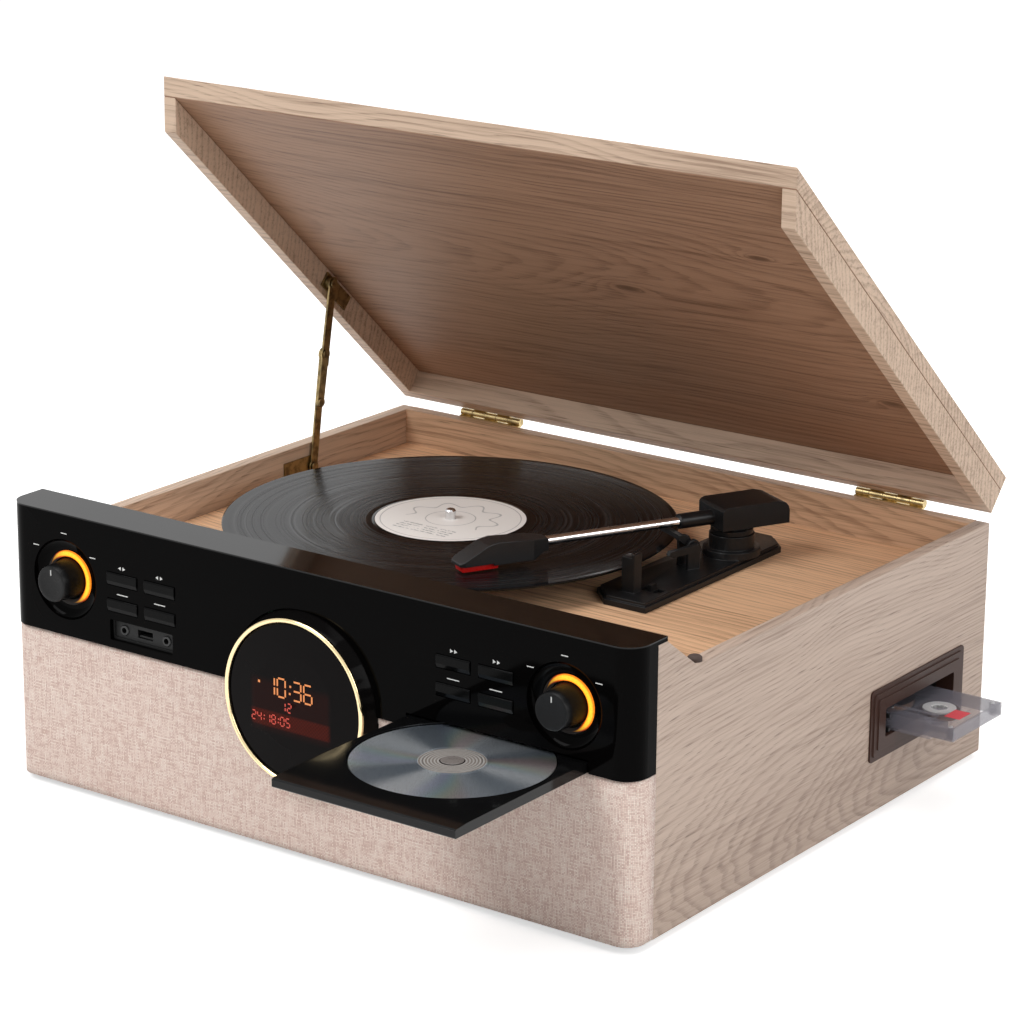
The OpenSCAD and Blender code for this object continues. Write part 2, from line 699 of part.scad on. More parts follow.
// Tray with a bevelled front bar, a round recess for the disc, a hub and a reading slot
module cd_tray() color(black) difference() {
    union() {
        difference() {
            translate([tray_x - tray_w / 2, tray_y, tray_z]) rotate([90, 0, 90])
                linear_extrude(tray_w) polygon([[0, 0.6], [0.6, 0], [tray_l, 0],
                    [tray_l, tray_t], [11, tray_t], [1, tray_t - 0.8], [0, tray_t - 1.6]]);
            translate([tray_x, tray_y + disc_y, tray_z + tray_t - tray_recess])
                cylinder(h = 10, r = disc_r + 1);
        }
        translate([tray_x, tray_y + disc_y, tray_z + tray_t - tray_recess - 1])
            cylinder(h = 2.6, r = 7.2);
    }
    translate([tray_x, tray_y + disc_y, tray_z - 1]) linear_extrude(tray_t - tray_recess + 0.99)
        difference() {
            bar([0, 10], [0, 62], 34);
            circle(16);
        }
    for (s = [-1, 1]) translate([tray_x + s * (tray_w / 2 - 4), tray_y + 30, tray_z - 1])
        cube([2, tray_l, 2.2]);
}

module disc() color([0.8, 0.82, 0.86]) translate([tray_x, tray_y + disc_y,
    tray_z + tray_t - tray_recess]) difference() {
        cylinder(h = disc_t, r = disc_r);
        translate([0, 0, -1]) cylinder(h = 4, r = 7.5);
    }

// ---- Cassette player ----

// Moves an outline of the side's plane onto the right side, its +Z pointing outwards
module on_side(x) translate([x, slot_y, cas_z]) rotate([90, 0, 90]) children();

module cassette_surround() color(brown) difference() {
    union() {
        on_side(side_x - board_t) linear_extrude(board_t) rounded(surround_w - 8.6, surround_h - 8.6, 1);
        on_side(side_x) linear_extrude(1.2) rounded(surround_w, surround_h, 3);
        on_side(side_x) linear_extrude(2.1) rounded(surround_w - 6, surround_h - 6, 2.5);
        on_side(side_x) linear_extrude(surround_t) rounded(surround_w - 14, surround_h - 14, 2);
    }
    on_side(side_x - board_t - 1) linear_extrude(board_t + 10) rounded(mouth_w, mouth_h, 1.5);
}

// Closed housing of the cassette mechanism with its channel, reel drives and two guide springs
module cassette_deck() {
    cw = cassette_w + 2 * fit;
    ct = cas_head + 2 * fit;
    color(black) difference() {
        translate([deck_box_x, slot_y - mouth_w / 2 - 4, cas_z - 20])
            cube([side_x - board_t - deck_box_x, mouth_w + 8, 40]);
        translate([cas_x0 - cassette_travel - 1, slot_y - cw / 2, tape_z - ct / 2])
            cube([cassette_l + 2 * cassette_travel, cw, ct]);
        translate([side_x - board_t - 30, slot_y - mouth_w / 2, cas_z - mouth_h / 2])
            cube([60, mouth_w, mouth_h]);
    }
    color(steel) for (z = [-1, 1]) translate([side_x - board_t - 30, slot_y - cassette_w / 2 - 4.5,
        tape_z + z * 4.6 - 1.4]) cube([board_t + 31, 1.6, 2.8]);
}

// Shell with the thicker head side, tape window, reel hubs and guide holes
module cassette() {
    cx = cas_x0 + cassette_l / 2;
    color([0.75, 0.77, 0.8, 0.5]) difference() {
        union() {
            translate([cas_x0, slot_y - cassette_w / 2, tape_z - cas_t / 2])
                cube([cassette_l, cassette_w, cas_t]);
            translate([cx, slot_y - cassette_w / 2, tape_z - cas_head / 2]) linear_extrude(cas_head)
                polygon([[-34, 0], [34, 0], [31, 15], [-31, 15]]);
        }
        for (s = [-1, 1]) translate([cx + s * 21.25, slot_y + 2, tape_z - 10])
            cylinder(h = 20, r = 5.6);
        for (s = [-1, 1]) translate([cx + s * 27, slot_y - cassette_w / 2 + 8, tape_z - 10])
            cylinder(h = 20, r = 2.4);
    }
    color("white") for (s = [-1, 1]) translate([cx + s * 21.25, slot_y + 2, tape_z - 3])
        difference() {
            cylinder(h = 6, r = 5.3);
            translate([0, 0, -1]) linear_extrude(8) difference() {
                circle(4.6);
                for (a = [0:60:300]) rotate(a) translate([3.1, -0.6]) square([2, 1.2]);
            }
        }
}

// ---- Turntable ----

// Shaft that the platter turns on, a shade thinner above the record
tip_r = spindle_r - 0.05;
tip_foot = 0.65;
tip_z = record_z + spindle_l;
module spindle() color(steel) translate([platter_x, platter_y, 0]) {
    translate([0, 0, deck_z - deck_t - 3]) cylinder(h = deck_t + 3, r = 6.6);
    translate([0, 0, deck_z - deck_t - 3]) cylinder(h = 3, r = 12);
    translate([0, 0, deck_z]) cylinder(h = 1.6, r = 9);
    rotate_extrude() polygon([[0, deck_z], [spindle_r, deck_z], [spindle_r, record_z + 0.05],
        [tip_r, record_z + tip_foot], [tip_r, tip_z - 1.5], [tip_r - 0.6, tip_z - 0.5],
        [tip_r - 1.8, tip_z], [0, tip_z]]);
}

// Platter with a turned-down rim, a hub and the belt's track under it
module platter() color([0.12, 0.12, 0.125]) translate([platter_x, platter_y, 0]) {
    bore = spindle_r + run;
    rotate_extrude() polygon([[bore, platter_z], [12, platter_z], [14, platter_top - 4],
        [track_r - 3, platter_top - 4], [track_r - 3, track_z], [track_r, track_z],
        [track_r, platter_top - 4], [platter_r - 4, platter_top - 4], [platter_r - 3, platter_z],
        [platter_r - 0.8, platter_z], [platter_r, platter_z + 3], [platter_r, platter_top - 1],
        [platter_r - 1, platter_top], [bore, platter_top]]);
}

module slip_mat() color([0.16, 0.16, 0.17]) translate([platter_x, platter_y, platter_top])
    difference() {
        cylinder(h = mat_t, r = platter_r - 2);
        translate([0, 0, -1]) cylinder(h = mat_t + 2, r = spindle_r + 0.4);
    }

// Record with a raised label land and a rounded edge
module record() color([0.05, 0.05, 0.05]) translate([platter_x, platter_y, record_z - record_t])
    rotate_extrude() polygon([[spindle_r + 0.08, 0], [record_r - 0.6, 0],
        [record_r, record_t * 0.35], [record_r, record_t * 0.65], [record_r - 0.8, record_t - 0.2],
        [52, record_t - 0.25], [50.5, record_t], [spindle_r + 0.08, record_t]]);

module platter_motor() translate([pulley_x, pulley_y, deck_z - deck_t]) {
    color(steel) difference() {
        union() {
            translate([0, 0, -1.5]) linear_extrude(1.5) bar([-22, 0], [22, 0], 12);
            translate([0, 0, -1.5 - motor_h]) cylinder(h = motor_h + 1.5, r = motor_r);
            cylinder(h = 3, r = 4);
        }
        translate([0, 0, -12]) cylinder(h = 20, r = 1 + run);
    }
}

module motor_pulley() color(brass) translate([pulley_x, pulley_y, 0]) {
    translate([0, 0, deck_z - deck_t - 10]) cylinder(h = deck_t + 10 + 3, r = 1);
    rotate_extrude() polygon([[0, platter_z], [pulley_r + 1.2, platter_z],
        [pulley_r + 1.2, platter_z + 0.8], [pulley_r, track_z + 0.2],
        [pulley_r, track_z + belt_h + 0.8], [pulley_r + 1.2, track_z + belt_h + 1.4],
        [pulley_r + 1.2, track_z + belt_h + 2], [0, track_z + belt_h + 2]]);
}

// Flat belt round the platter's track and the pulley
module belt_line(grow) hull() {
    translate([platter_x, platter_y]) circle(track_r + grow, $fn = 96);
    translate([pulley_x, pulley_y]) circle(pulley_r + grow, $fn = 32);
}

module drive_belt() color(rubber) translate([0, 0, track_z + 0.6]) linear_extrude(belt_h)
    difference() {
        belt_line(fit + belt_t);
        belt_line(fit);
    }

// ---- Tonearm ----

cue_ears = [6, 18];
ear_t = 3;

// Plan of the arm's base plate
module plate_outline() polygon([[arm_x - 16, arm_y - 124], [arm_x + 16, arm_y - 124],
    [arm_x + 16, arm_y + 36], [arm_x + 2, arm_y + 50], [arm_x - 18, arm_y + 50],
    [arm_x - 32, arm_y + 36], [arm_x - 32, arm_y - 108]]);

// Plate with the pivot's tower, the cue lever's ears and the arm's rest in one moulding
module arm_base() color(black) {
    difference() {
        union() {
            translate([0, 0, deck_z]) linear_extrude(plate_t - 2) plate_outline();
            translate([0, 0, plate_z - 2]) linear_extrude(2) offset(delta = -2) plate_outline();
            translate([arm_x, arm_y, plate_z]) cylinder(h = 5, r = tower_r + 4);
            translate([arm_x, arm_y, plate_z]) cylinder(h = tower_z - plate_z, r = tower_r);
        }
        translate([arm_x, arm_y, plate_z]) cylinder(h = 40, r = 4 + run);
        translate([speed_x - 8, speed_y - 4, plate_z - 2.4]) cube([16, 8, 10]);
    }
    arm_pose() for (x = cue_ears) difference() {
        upright(x, ear_t) bar([cue_y, cue_z], [cue_y, plate_z], 9);
        translate([x - 1, cue_y, cue_z]) rotate([0, 90, 0]) cylinder(h = ear_t + 2, r = cue_r + run);
        translate([x - 1, cue_y - 10, deck_z - 20]) cube([ear_t + 2, 20, 20 + plate_t - 1]);
    }
    // the rest: a shelf under the tube, an upstand on its outer side and a post below
    translate([arm_x, arm_y, 0]) rotate([0, 0, -rest_turn]) difference() {
        translate([-rest_w, -rest_l - rest_w, plate_z - 1])
            cube([rest_w + tube_r + 3.2, 2 * rest_w, arm_z - plate_z]);
        translate([-rest_w - 1, -rest_l - rest_w - 1, arm_z - tube_r - fit])
            cube([rest_w + 1 + tube_r + 0.8, 2 * rest_w + 2, 20]);
    }
}

speed_x = arm_x + 2;
speed_y = arm_y - 96;
module speed_lever() color(black) translate([speed_x, speed_y, plate_z - 2.1]) {
    translate([-2.5, -3.4, 0]) cube([5, 6.8, 2]);
    translate([-1.5, -3, 1]) cube([3, 6, 5]);
}

// Turning stage on the tower, with two cheeks that carry the arm's cross pins
cheek_x = 8.5;
cheek_t = 3;
module arm_yoke() color(black) arm_pose() {
    translate([0, 0, plate_z + 2]) cylinder(h = yoke_z - plate_z + 1, r = 4);
    translate([0, 0, yoke_z]) cylinder(h = 3, r = tower_r - 1);
    for (s = [-1, 1]) difference() {
        union() {
            translate([s * cheek_x - cheek_t / 2, -5, yoke_z + 1]) cube([cheek_t, 10, arm_z - yoke_z - 1]);
            translate([s * cheek_x - cheek_t / 2, 0, arm_z]) rotate([0, 90, 0])
                cylinder(h = cheek_t, r = 5);
        }
        translate([s * cheek_x - cheek_t, 0, arm_z]) rotate([0, 90, 0])
            cylinder(h = 2 * cheek_t, r = 1.5 + run);
    }
}

// Rear block of the arm, hollow over the cheeks, with the cross pins and the tube's collar
module arm_housing() color(black) arm_pose() {
    difference() {
        translate([-block_w / 2, block_y, block_z]) rotate([90, 0, 90]) linear_extrude(block_w)
            polygon([[0, 0], [0, block_h - 2.5], [1.5, block_h - 0.8], [4, block_h],
                [block_l - 9, block_h], [block_l - 3, block_h - 1.5], [block_l - 0.8, block_h - 4],
                [block_l, block_h - 7], [block_l, 0]]);
        translate([-hollow_w / 2, -7, block_z - 1]) cube([hollow_w, 14, block_h - 2]);
    }
    translate([0, block_y + 0.5, arm_z]) rotate([90, 0, 0]) cylinder(h = collar_l + 0.5, r = tube_r + 2);
    for (s = [-1, 1]) translate([s * (cheek_x - cheek_t / 2), 0, arm_z]) rotate([0, s * 90, 0])
        cylinder(h = hollow_w / 2 - cheek_x + cheek_t / 2 + 0.5, r = 1.5);
}

module arm_tube() color(steel) arm_pose() translate([0, block_y - collar_l, arm_z])
    rotate([90, 0, 0]) difference() {
        cylinder(h = block_y - collar_l - shell_y, r = tube_r);
        translate([0, 0, -1]) cylinder(h = arm_l, r = tube_r - 0.5);
    }

// Moves an outline along the arm, given as [towards the tip, up], to w wide across it
module across(w) translate([-w / 2, 0, arm_z]) rotate([90, 0, 90]) linear_extrude(w)
    mirror([1, 0]) children();

// Open-bottomed headshell: level over the cartridge, then sloping down to its tip
module headshell() color(black) arm_pose() {
    tip = -shell_y + shell_l;
    start = -shell_y;
    difference() {
        intersection() {
            across(shell_w) polygon([[start, 3], [start + 12, 4.5], [tip - 26, 6], [tip - 19, 4.5],
                [tip, -5.7], [tip, -7.7], [tip - 23, -7.7], [tip - 23, -9], [start + 11, -9],
                [start + 4, -5], [start, -5]]);
            translate([0, 0, shell_base - 1]) linear_extrude(40) polygon([[-5.5, shell_y],
                [5.5, shell_y], [shell_w / 2, shell_y - 12], [shell_w / 2, -tip + 3],
                [shell_w / 2 - 2, -tip], [2 - shell_w / 2, -tip], [-shell_w / 2, -tip + 3],
                [-shell_w / 2, shell_y - 12]]);
        }
        across(shell_w - 2.4) polygon([[start + 14, -10], [start + 14, 0], [tip - 23, 0], [tip - 23, -10]]);
    }
}

// Cartridge body in the headshell, with the stylus holder under it
module cartridge() arm_pose() {
    tip = -shell_y + shell_l;
    holder_top = -8.3;
    color(black) across(shell_w - 3.4) polygon([[tip - 48, holder_top], [tip - 48, 0],
        [tip - 23.5, 0], [tip - 23.5, holder_top]]);
    color("red") across(11) polygon([[tip - 28, holder_top], [tip - 2, holder_top],
        [tip - 2, record_z + 0.5 - arm_z], [tip - 27, record_z + 0.5 - arm_z]]);
}

// Shaft, lifting bar under the tube and finger tab of the cue lever
module cue_lever() color(black) arm_pose() {
    bar_top = arm_z - tube_r - cue_gap;
    translate([cue_ears[0] - 0.5, cue_y, cue_z]) rotate([0, 90, 0])
        cylinder(h = cue_ears[1] + ear_t + 5 - cue_ears[0] + 0.5, r = cue_r);
    upright(cue_ears[0] + ear_t + fit, cue_ears[1] - cue_ears[0] - ear_t - 2 * fit) polygon([
        [cue_y - 2, cue_z - 2], [cue_y + 2.4, cue_z], [cue_y + 1, cue_z + 3],
        [cue_y - 5, bar_top], [cue_y - 9, bar_top], [cue_y - 9, bar_top - 3]]);
    translate([-14, cue_y - 9, bar_top - 3]) cube([cue_ears[1] + 14 - fit, 4, 3]);
    upright(cue_ears[1] + ear_t + 1, 4) polygon([[cue_y + 2.4, cue_z - 2], [cue_y - 18, cue_z - 4],
        [cue_y - 21, cue_z - 2.6], [cue_y - 20, cue_z], [cue_y + 1, cue_z + 2.6]]);
}

// ---- Lid ----

lid_bevel = bevel_run / lid_h;

module lid_top() color(wood) lid_pose() upright(-side_x, body_w) polygon([
    [rear_y, lid_top_z], [rear_y, lid_top_z - board_t],
    [lid_front - bevel_run + board_t * lid_bevel, lid_top_z - board_t],
    [lid_front - bevel_run, lid_top_z]]);

module lid_walls() color(wood) lid_pose() {
    for (x = [-side_x, side_x - board_t]) upright(x, board_t) polygon([[rear_y, lid_z],
        [rear_y, lid_top_z - board_t],
        [lid_front - bevel_run + board_t * lid_bevel, lid_top_z - board_t], [lid_front, lid_z]]);
    translate([-in_w / 2, rear_y - board_t, lid_z]) cube([in_w, board_t, lid_h - board_t]);
}

// One hinge: knuckles of one leaf sit between those of the other
knuckle_w = (hinge_w - 4 * fit) / 5;
module knuckles(first) for (i = [first:2:4])
    translate([-hinge_w / 2 + i * (knuckle_w + fit), rear_y + pin_y, pin_z]) rotate([0, 90, 0])
        difference() {
            cylinder(h = knuckle_w, r = knuckle_r);
            translate([0, 0, -1]) cylinder(h = knuckle_w + 2, r = pin_r + (first == 1 ? run : 0));
        }

// Leaf plate from the rear face to the knuckles, notched beside the other leaf's knuckles
module leaf(first, low, high) {
    translate([-hinge_w / 2, rear_y, low]) cube([hinge_w, leaf_t, high - low]);
    for (i = [first:2:4]) translate([-hinge_w / 2 + i * (knuckle_w + fit), rear_y, 0])
        if (first == 0) translate([0, 0, pin_z - knuckle_r - 0.6]) cube([knuckle_w, pin_y, 1.4]);
        else translate([0, 0, pin_z + knuckle_r - 0.8]) cube([knuckle_w, pin_y, 1.4]);
}

module hinge_leaves_lower() color(brass) for (s = [-1, 1]) translate([s * hinge_x, 0, 0]) {
    difference() {
        union() {
            knuckles(0);
            leaf(0, pin_z - knuckle_r - leaf_h, pin_z - knuckle_r + 0.8);
        }
        translate([-hinge_w, rear_y + pin_y, pin_z]) rotate([0, 90, 0])
            cylinder(h = 2 * hinge_w, r = pin_r);
    }
    translate([-hinge_w / 2, rear_y + pin_y, pin_z]) rotate([0, 90, 0])
        cylinder(h = hinge_w, r = pin_r);
}

module hinge_leaves_upper() color(brass) lid_pose() for (s = [-1, 1]) translate([s * hinge_x, 0, 0])
    difference() {
        union() {
            knuckles(1);
            leaf(1, pin_z + knuckle_r - 0.8, pin_z + knuckle_r + leaf_h);
        }
        translate([-hinge_w, rear_y + pin_y, pin_z]) rotate([0, 90, 0])
            cylinder(h = 2 * hinge_w, r = pin_r + run);
    }

// ---- Lid stay ----

arm1_x = stay_x + stay_t + fit;
arm2_x = arm1_x + stay_t + fit;

module rivet(x, t, p) translate([x, p[0], p[1]]) rotate([0, 90, 0]) cylinder(h = t, r = rivet_r);
module rivet_head(x, p) translate([x, p[0], p[1]]) rotate([0, 90, 0]) cylinder(h = 1, r = rivet_r + 1.2);

module stay_bracket_lower() color(brass) {
    upright(stay_x, stay_t) {
        translate([low_pivot[0] - 30, low_pivot[1] - 3]) square([34, 11]);
        translate(low_pivot) circle(5);
    }
    rivet(stay_x, 2 * stay_t + 2 * fit, low_pivot);
    rivet_head(stay_x + 2 * stay_t + 2 * fit, low_pivot);
}

module stay_bracket_upper() color(brass) lid_pose() {
    upright(stay_x, stay_t) {
        translate([lid_pivot_shut[0] - 6, lid_pivot_shut[1] - 6]) square([34, 11]);
        translate(lid_pivot_shut) circle(5);
    }
    rivet(stay_x, 3 * stay_t + 3 * fit, lid_pivot_shut);
    rivet_head(stay_x + 3 * stay_t + 3 * fit, lid_pivot_shut);
    translate([stay_x + stay_t, lid_pivot_shut[0], lid_pivot_shut[1]]) rotate([0, 90, 0])
        cylinder(h = stay_t, r = 4);
}

module stay_arm_lower() color(brass) {
    difference() {
        upright(arm1_x, stay_t) {
            bar(low_pivot, knee, stay_w);
            translate(low_pivot) circle(stay_w / 2 + 1);
            translate(knee) circle(stay_w / 2 + 1);
            // stop tab beside the knee
            translate(knee) rotate(low_angle) translate([-9, -stay_w / 2 - 3]) square([7, 4]);
        }
        translate([0, low_pivot[0], low_pivot[1]]) rotate([0, 90, 0]) translate([0, 0, arm1_x - 1])
            cylinder(h = stay_t + 2, r = rivet_r + run);
    }
}

module stay_arm_upper() color(brass) {
    tail = knee + stay_tail * [cos(up_angle), sin(up_angle)];
    difference() {
        upright(arm2_x, stay_t) {
            bar(lid_pivot, tail, stay_w);
            translate(lid_pivot) circle(stay_w / 2 + 1);
            translate(knee) circle(stay_w / 2 + 1);
        }
        translate([0, lid_pivot[0], lid_pivot[1]]) rotate([0, 90, 0]) translate([0, 0, arm2_x - 1])
            cylinder(h = stay_t + 2, r = rivet_r + run);
    }
    rivet_head(arm2_x + stay_t, knee);
    rivet_head(arm2_x + stay_t, tail);
}

side_left();
side_right();
rear_panel();
base_panel();
front_rail();
grille_frame();
grille_cloth();
fascia();
display_housing();
display_bezel();
display_lens();
control_board();
light_rings();
port_pocket();
speakers();
main_board();
power_unit();
rear_sockets();
cd_loader();
cassette_surround();
cassette_deck();
deck_board();
spindle();
platter_motor();
drive_belt();
arm_base();
speed_lever();
feet();
bumpers();
stay_bracket_lower();
hinge_leaves_lower();
lid_top();
lid_walls();
hinge_leaves_upper();
stay_bracket_upper();
stay_arm_lower();
stay_arm_upper();
platter();
slip_mat();
record();
motor_pulley();
arm_yoke();
arm_tube();
arm_housing();
headshell();
cartridge();
cue_lever();
cd_tray();
disc();
cassette();
knob_left();
knob_right();
button(-1, 0);  // button_left_1
button(-1, 1);  // button_left_2
button(-1, 2);  // button_left_3
button(-1, 3);  // button_left_4
button(1, 0);  // button_right_1
button(1, 1);  // button_right_2
button(1, 2);  // button_right_3
button(1, 3);  // button_right_4
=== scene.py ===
"""Wood-cased music centre: the visible pieces and finishes round a fixed frame of solids."""

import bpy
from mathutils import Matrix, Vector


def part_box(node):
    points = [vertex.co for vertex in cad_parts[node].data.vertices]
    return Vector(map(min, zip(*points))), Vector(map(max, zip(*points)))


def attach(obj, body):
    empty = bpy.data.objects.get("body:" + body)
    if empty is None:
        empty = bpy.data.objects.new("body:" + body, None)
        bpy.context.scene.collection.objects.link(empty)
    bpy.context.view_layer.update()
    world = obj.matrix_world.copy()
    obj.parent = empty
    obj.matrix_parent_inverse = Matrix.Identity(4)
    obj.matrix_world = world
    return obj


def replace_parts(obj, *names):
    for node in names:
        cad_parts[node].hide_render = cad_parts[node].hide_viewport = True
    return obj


bl_info = {
    "name": "Music Centre Builder",
    "version": (1, 0, 0),
    "blender": (4, 5, 0),
    "location": "View3D > Sidebar > Music Centre",
    "description": "Dresses a wood-cased music centre with turntable, disc tray and cassette slot",
    "category": "Add Mesh",
}

import math
from functools import partialmethod

import bmesh
import bpy
from mathutils import Matrix, Vector

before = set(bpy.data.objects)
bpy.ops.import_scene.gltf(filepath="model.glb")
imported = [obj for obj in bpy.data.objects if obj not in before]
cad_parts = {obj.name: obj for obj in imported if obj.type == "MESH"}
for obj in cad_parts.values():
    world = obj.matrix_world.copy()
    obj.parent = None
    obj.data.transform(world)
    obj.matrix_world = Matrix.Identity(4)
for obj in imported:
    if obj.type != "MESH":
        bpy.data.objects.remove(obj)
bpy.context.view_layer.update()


def corners(node):
    """Low and high corner of a solid's box."""
    return [Vector(c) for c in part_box(node)]


def middle(node):
    low, high = corners(node)
    return (low + high) / 2


MM = 0.001
FACE_Y = corners("fascia")[0].y
LID_OPEN = math.radians(42.3)
HINGE_LINE = Vector((0, 0.21, 0.165))
ARM_TURN = math.radians(27.4)
ARM_PIVOT = Vector((0.110, 0.100, 0))
DISC_CENTRE = middle("disc")
DISC_TOP = Vector((DISC_CENTRE.x, DISC_CENTRE.y, corners("disc")[1].z))
RECORD_CENTRE = middle("record")
RECORD_TOP = Vector((RECORD_CENTRE.x, RECORD_CENTRE.y, corners("record")[1].z))
BEZEL_CENTRE = middle("display_bezel")
KNOB_CENTRES = {side: middle("knob_" + side) for side in ("left", "right")}
KEYS = [(side, i) for side in ("left", "right") for i in (1, 2, 3, 4)]
WHITE = (1, 1, 1)


# ---- Shader expressions ----

class Socket:
    """A shader socket that takes part in Python expressions."""

    def __init__(self, shader, socket):
        self.shader = shader
        self.socket = socket

    def math(self, operation, *others):
        inputs = dict(enumerate((self,) + others))
        return self.shader.node("Math", {"operation": operation}, inputs)

    def flipped(self, operation, other):
        """The operation with the two sides exchanged."""
        return self.shader.node("Math", {"operation": operation}, {0: other, 1: self})

    __add__ = __radd__ = partialmethod(math, "ADD")
    __sub__ = partialmethod(math, "SUBTRACT")
    __rsub__ = partialmethod(flipped, "SUBTRACT")
    __mul__ = __rmul__ = partialmethod(math, "MULTIPLY")
    __truediv__ = partialmethod(math, "DIVIDE")
    __rtruediv__ = partialmethod(flipped, "DIVIDE")
    __pow__ = partialmethod(math, "POWER")
    __gt__ = partialmethod(math, "GREATER_THAN")
    __lt__ = partialmethod(math, "LESS_THAN")
    __abs__ = partialmethod(math, "ABSOLUTE")

    def step(self, low, high):
        """0 below low and 1 above high, smooth between them."""
        return self.shader.node("MapRange", {"interpolation_type": "SMOOTHSTEP"},
                                {"Value": self, "From Min": low, "From Max": high})

    def near(self, centre, inner, outer):
        """1 within inner of a value, and 0 from outer on."""
        return 1 - abs(self - centre).step(inner, outer)


class Shader:
    """The nodes of a material or of the world, under construction.

    here is the object's own place, less move and then turned."""

    def __init__(self, name, kind="Material", turn=(0, 0, 0), move=(0, 0, 0)):
        kinds = {"Material": bpy.data.materials, "World": bpy.data.worlds}
        self.owner = kinds[kind].new(name)
        self.owner.use_nodes = True
        self.tree = self.owner.node_tree
        self.tree.nodes.clear()
        self.output = self.tree.nodes.new("ShaderNodeOutput" + kind)
        source = self.node("TexCoord", out=3)
        moved = self.node("VectorMath", {"operation": "SUBTRACT"}, {0: source, 1: move})
        self.here = self.node("Mapping", None, {0: moved, "Rotation": turn})

    def node(self, kind, settings=None, inputs=None, out=0):
        """Adds a node: its settings first, then the values or links of its sockets."""
        made = self.tree.nodes.new("ShaderNode" + kind)
        for key, value in (settings or {}).items():
            if key == "stops":
                elements = made.color_ramp.elements
                elements.remove(elements[1])
                elements[0].position = value[0][0]
                elements[0].color = (*value[0][1], 1)
                for place, colour in value[1:]:
                    elements.new(place).color = (*colour, 1)
            else:
                setattr(made, key, value)
        for key, value in (inputs or {}).items():
            socket = made.inputs[key]
            if isinstance(value, Socket):
                self.tree.links.new(value.socket, socket)
            elif socket.type == "RGBA" and len(value) == 3:
                socket.default_value = (*value, 1)
            else:
                socket.default_value = value
        return Socket(self, made.outputs[out])

    def scaled(self, vector, scale):
        return self.node("VectorMath", {"operation": "MULTIPLY"}, {0: vector, 1: scale})

    def parts(self, vector):
        outputs = self.node("SeparateXYZ", None, {0: vector}).socket.node.outputs
        return [Socket(self, outputs[i]) for i in range(3)]

    def point(self, x, y, z):
        return self.node("CombineXYZ", None, {0: x, 1: y, 2: z})

    def radius(self, x, y):
        return (x ** 2 + y ** 2) ** 0.5

    def noise(self, scale, detail=2.0, roughness=0.5, at=None):
        """Noise at the shader's place or another point; scale can differ along each axis."""
        at = at or self.here
        if isinstance(scale, tuple):
            at, scale = self.scaled(at, scale), 1.0
        return self.node("TexNoise", None, {"Vector": at, "Scale": scale, "Detail": detail,
                                            "Roughness": roughness})

    def mix(self, factor, first, second, mode="MIX"):
        return self.node("Mix", {"data_type": "RGBA", "blend_type": mode},
                         {0: factor, 6: first, 7: second}, out=2)

    def bump(self, height, distance, strength=1.0):
        return self.node("Bump", None,
                         {"Height": height, "Distance": distance, "Strength": strength})

    def seen_directly(self):
        """1 for rays from the camera, a reflection or a clear piece, and 0 for the rest."""
        outputs = self.node("LightPath").socket.node.outputs
        rays = [Socket(self, outputs[f"Is {kind} Ray"])
                for kind in ("Camera", "Glossy", "Transmission")]
        return rays[0].math("MAXIMUM", rays[1]).math("MAXIMUM", rays[2])

    def end(self, shader):
        """Links the last shader to the output and returns the material or world."""
        self.tree.links.new(shader.socket, self.output.inputs[0])
        return self.owner

    def surface(self, colour, roughness, **inputs):
        """Ends the material in one Principled surface."""
        named = {key.replace("_", " "): value for key, value in inputs.items()}
        named.update({"Base Color": colour, "Roughness": roughness})
        return self.end(self.node("BsdfPrincipled", None, named))


def shade_of(colour, factor):
    """A colour made lighter or darker."""
    return tuple(c * factor for c in colour)


# ---- Finishes ----

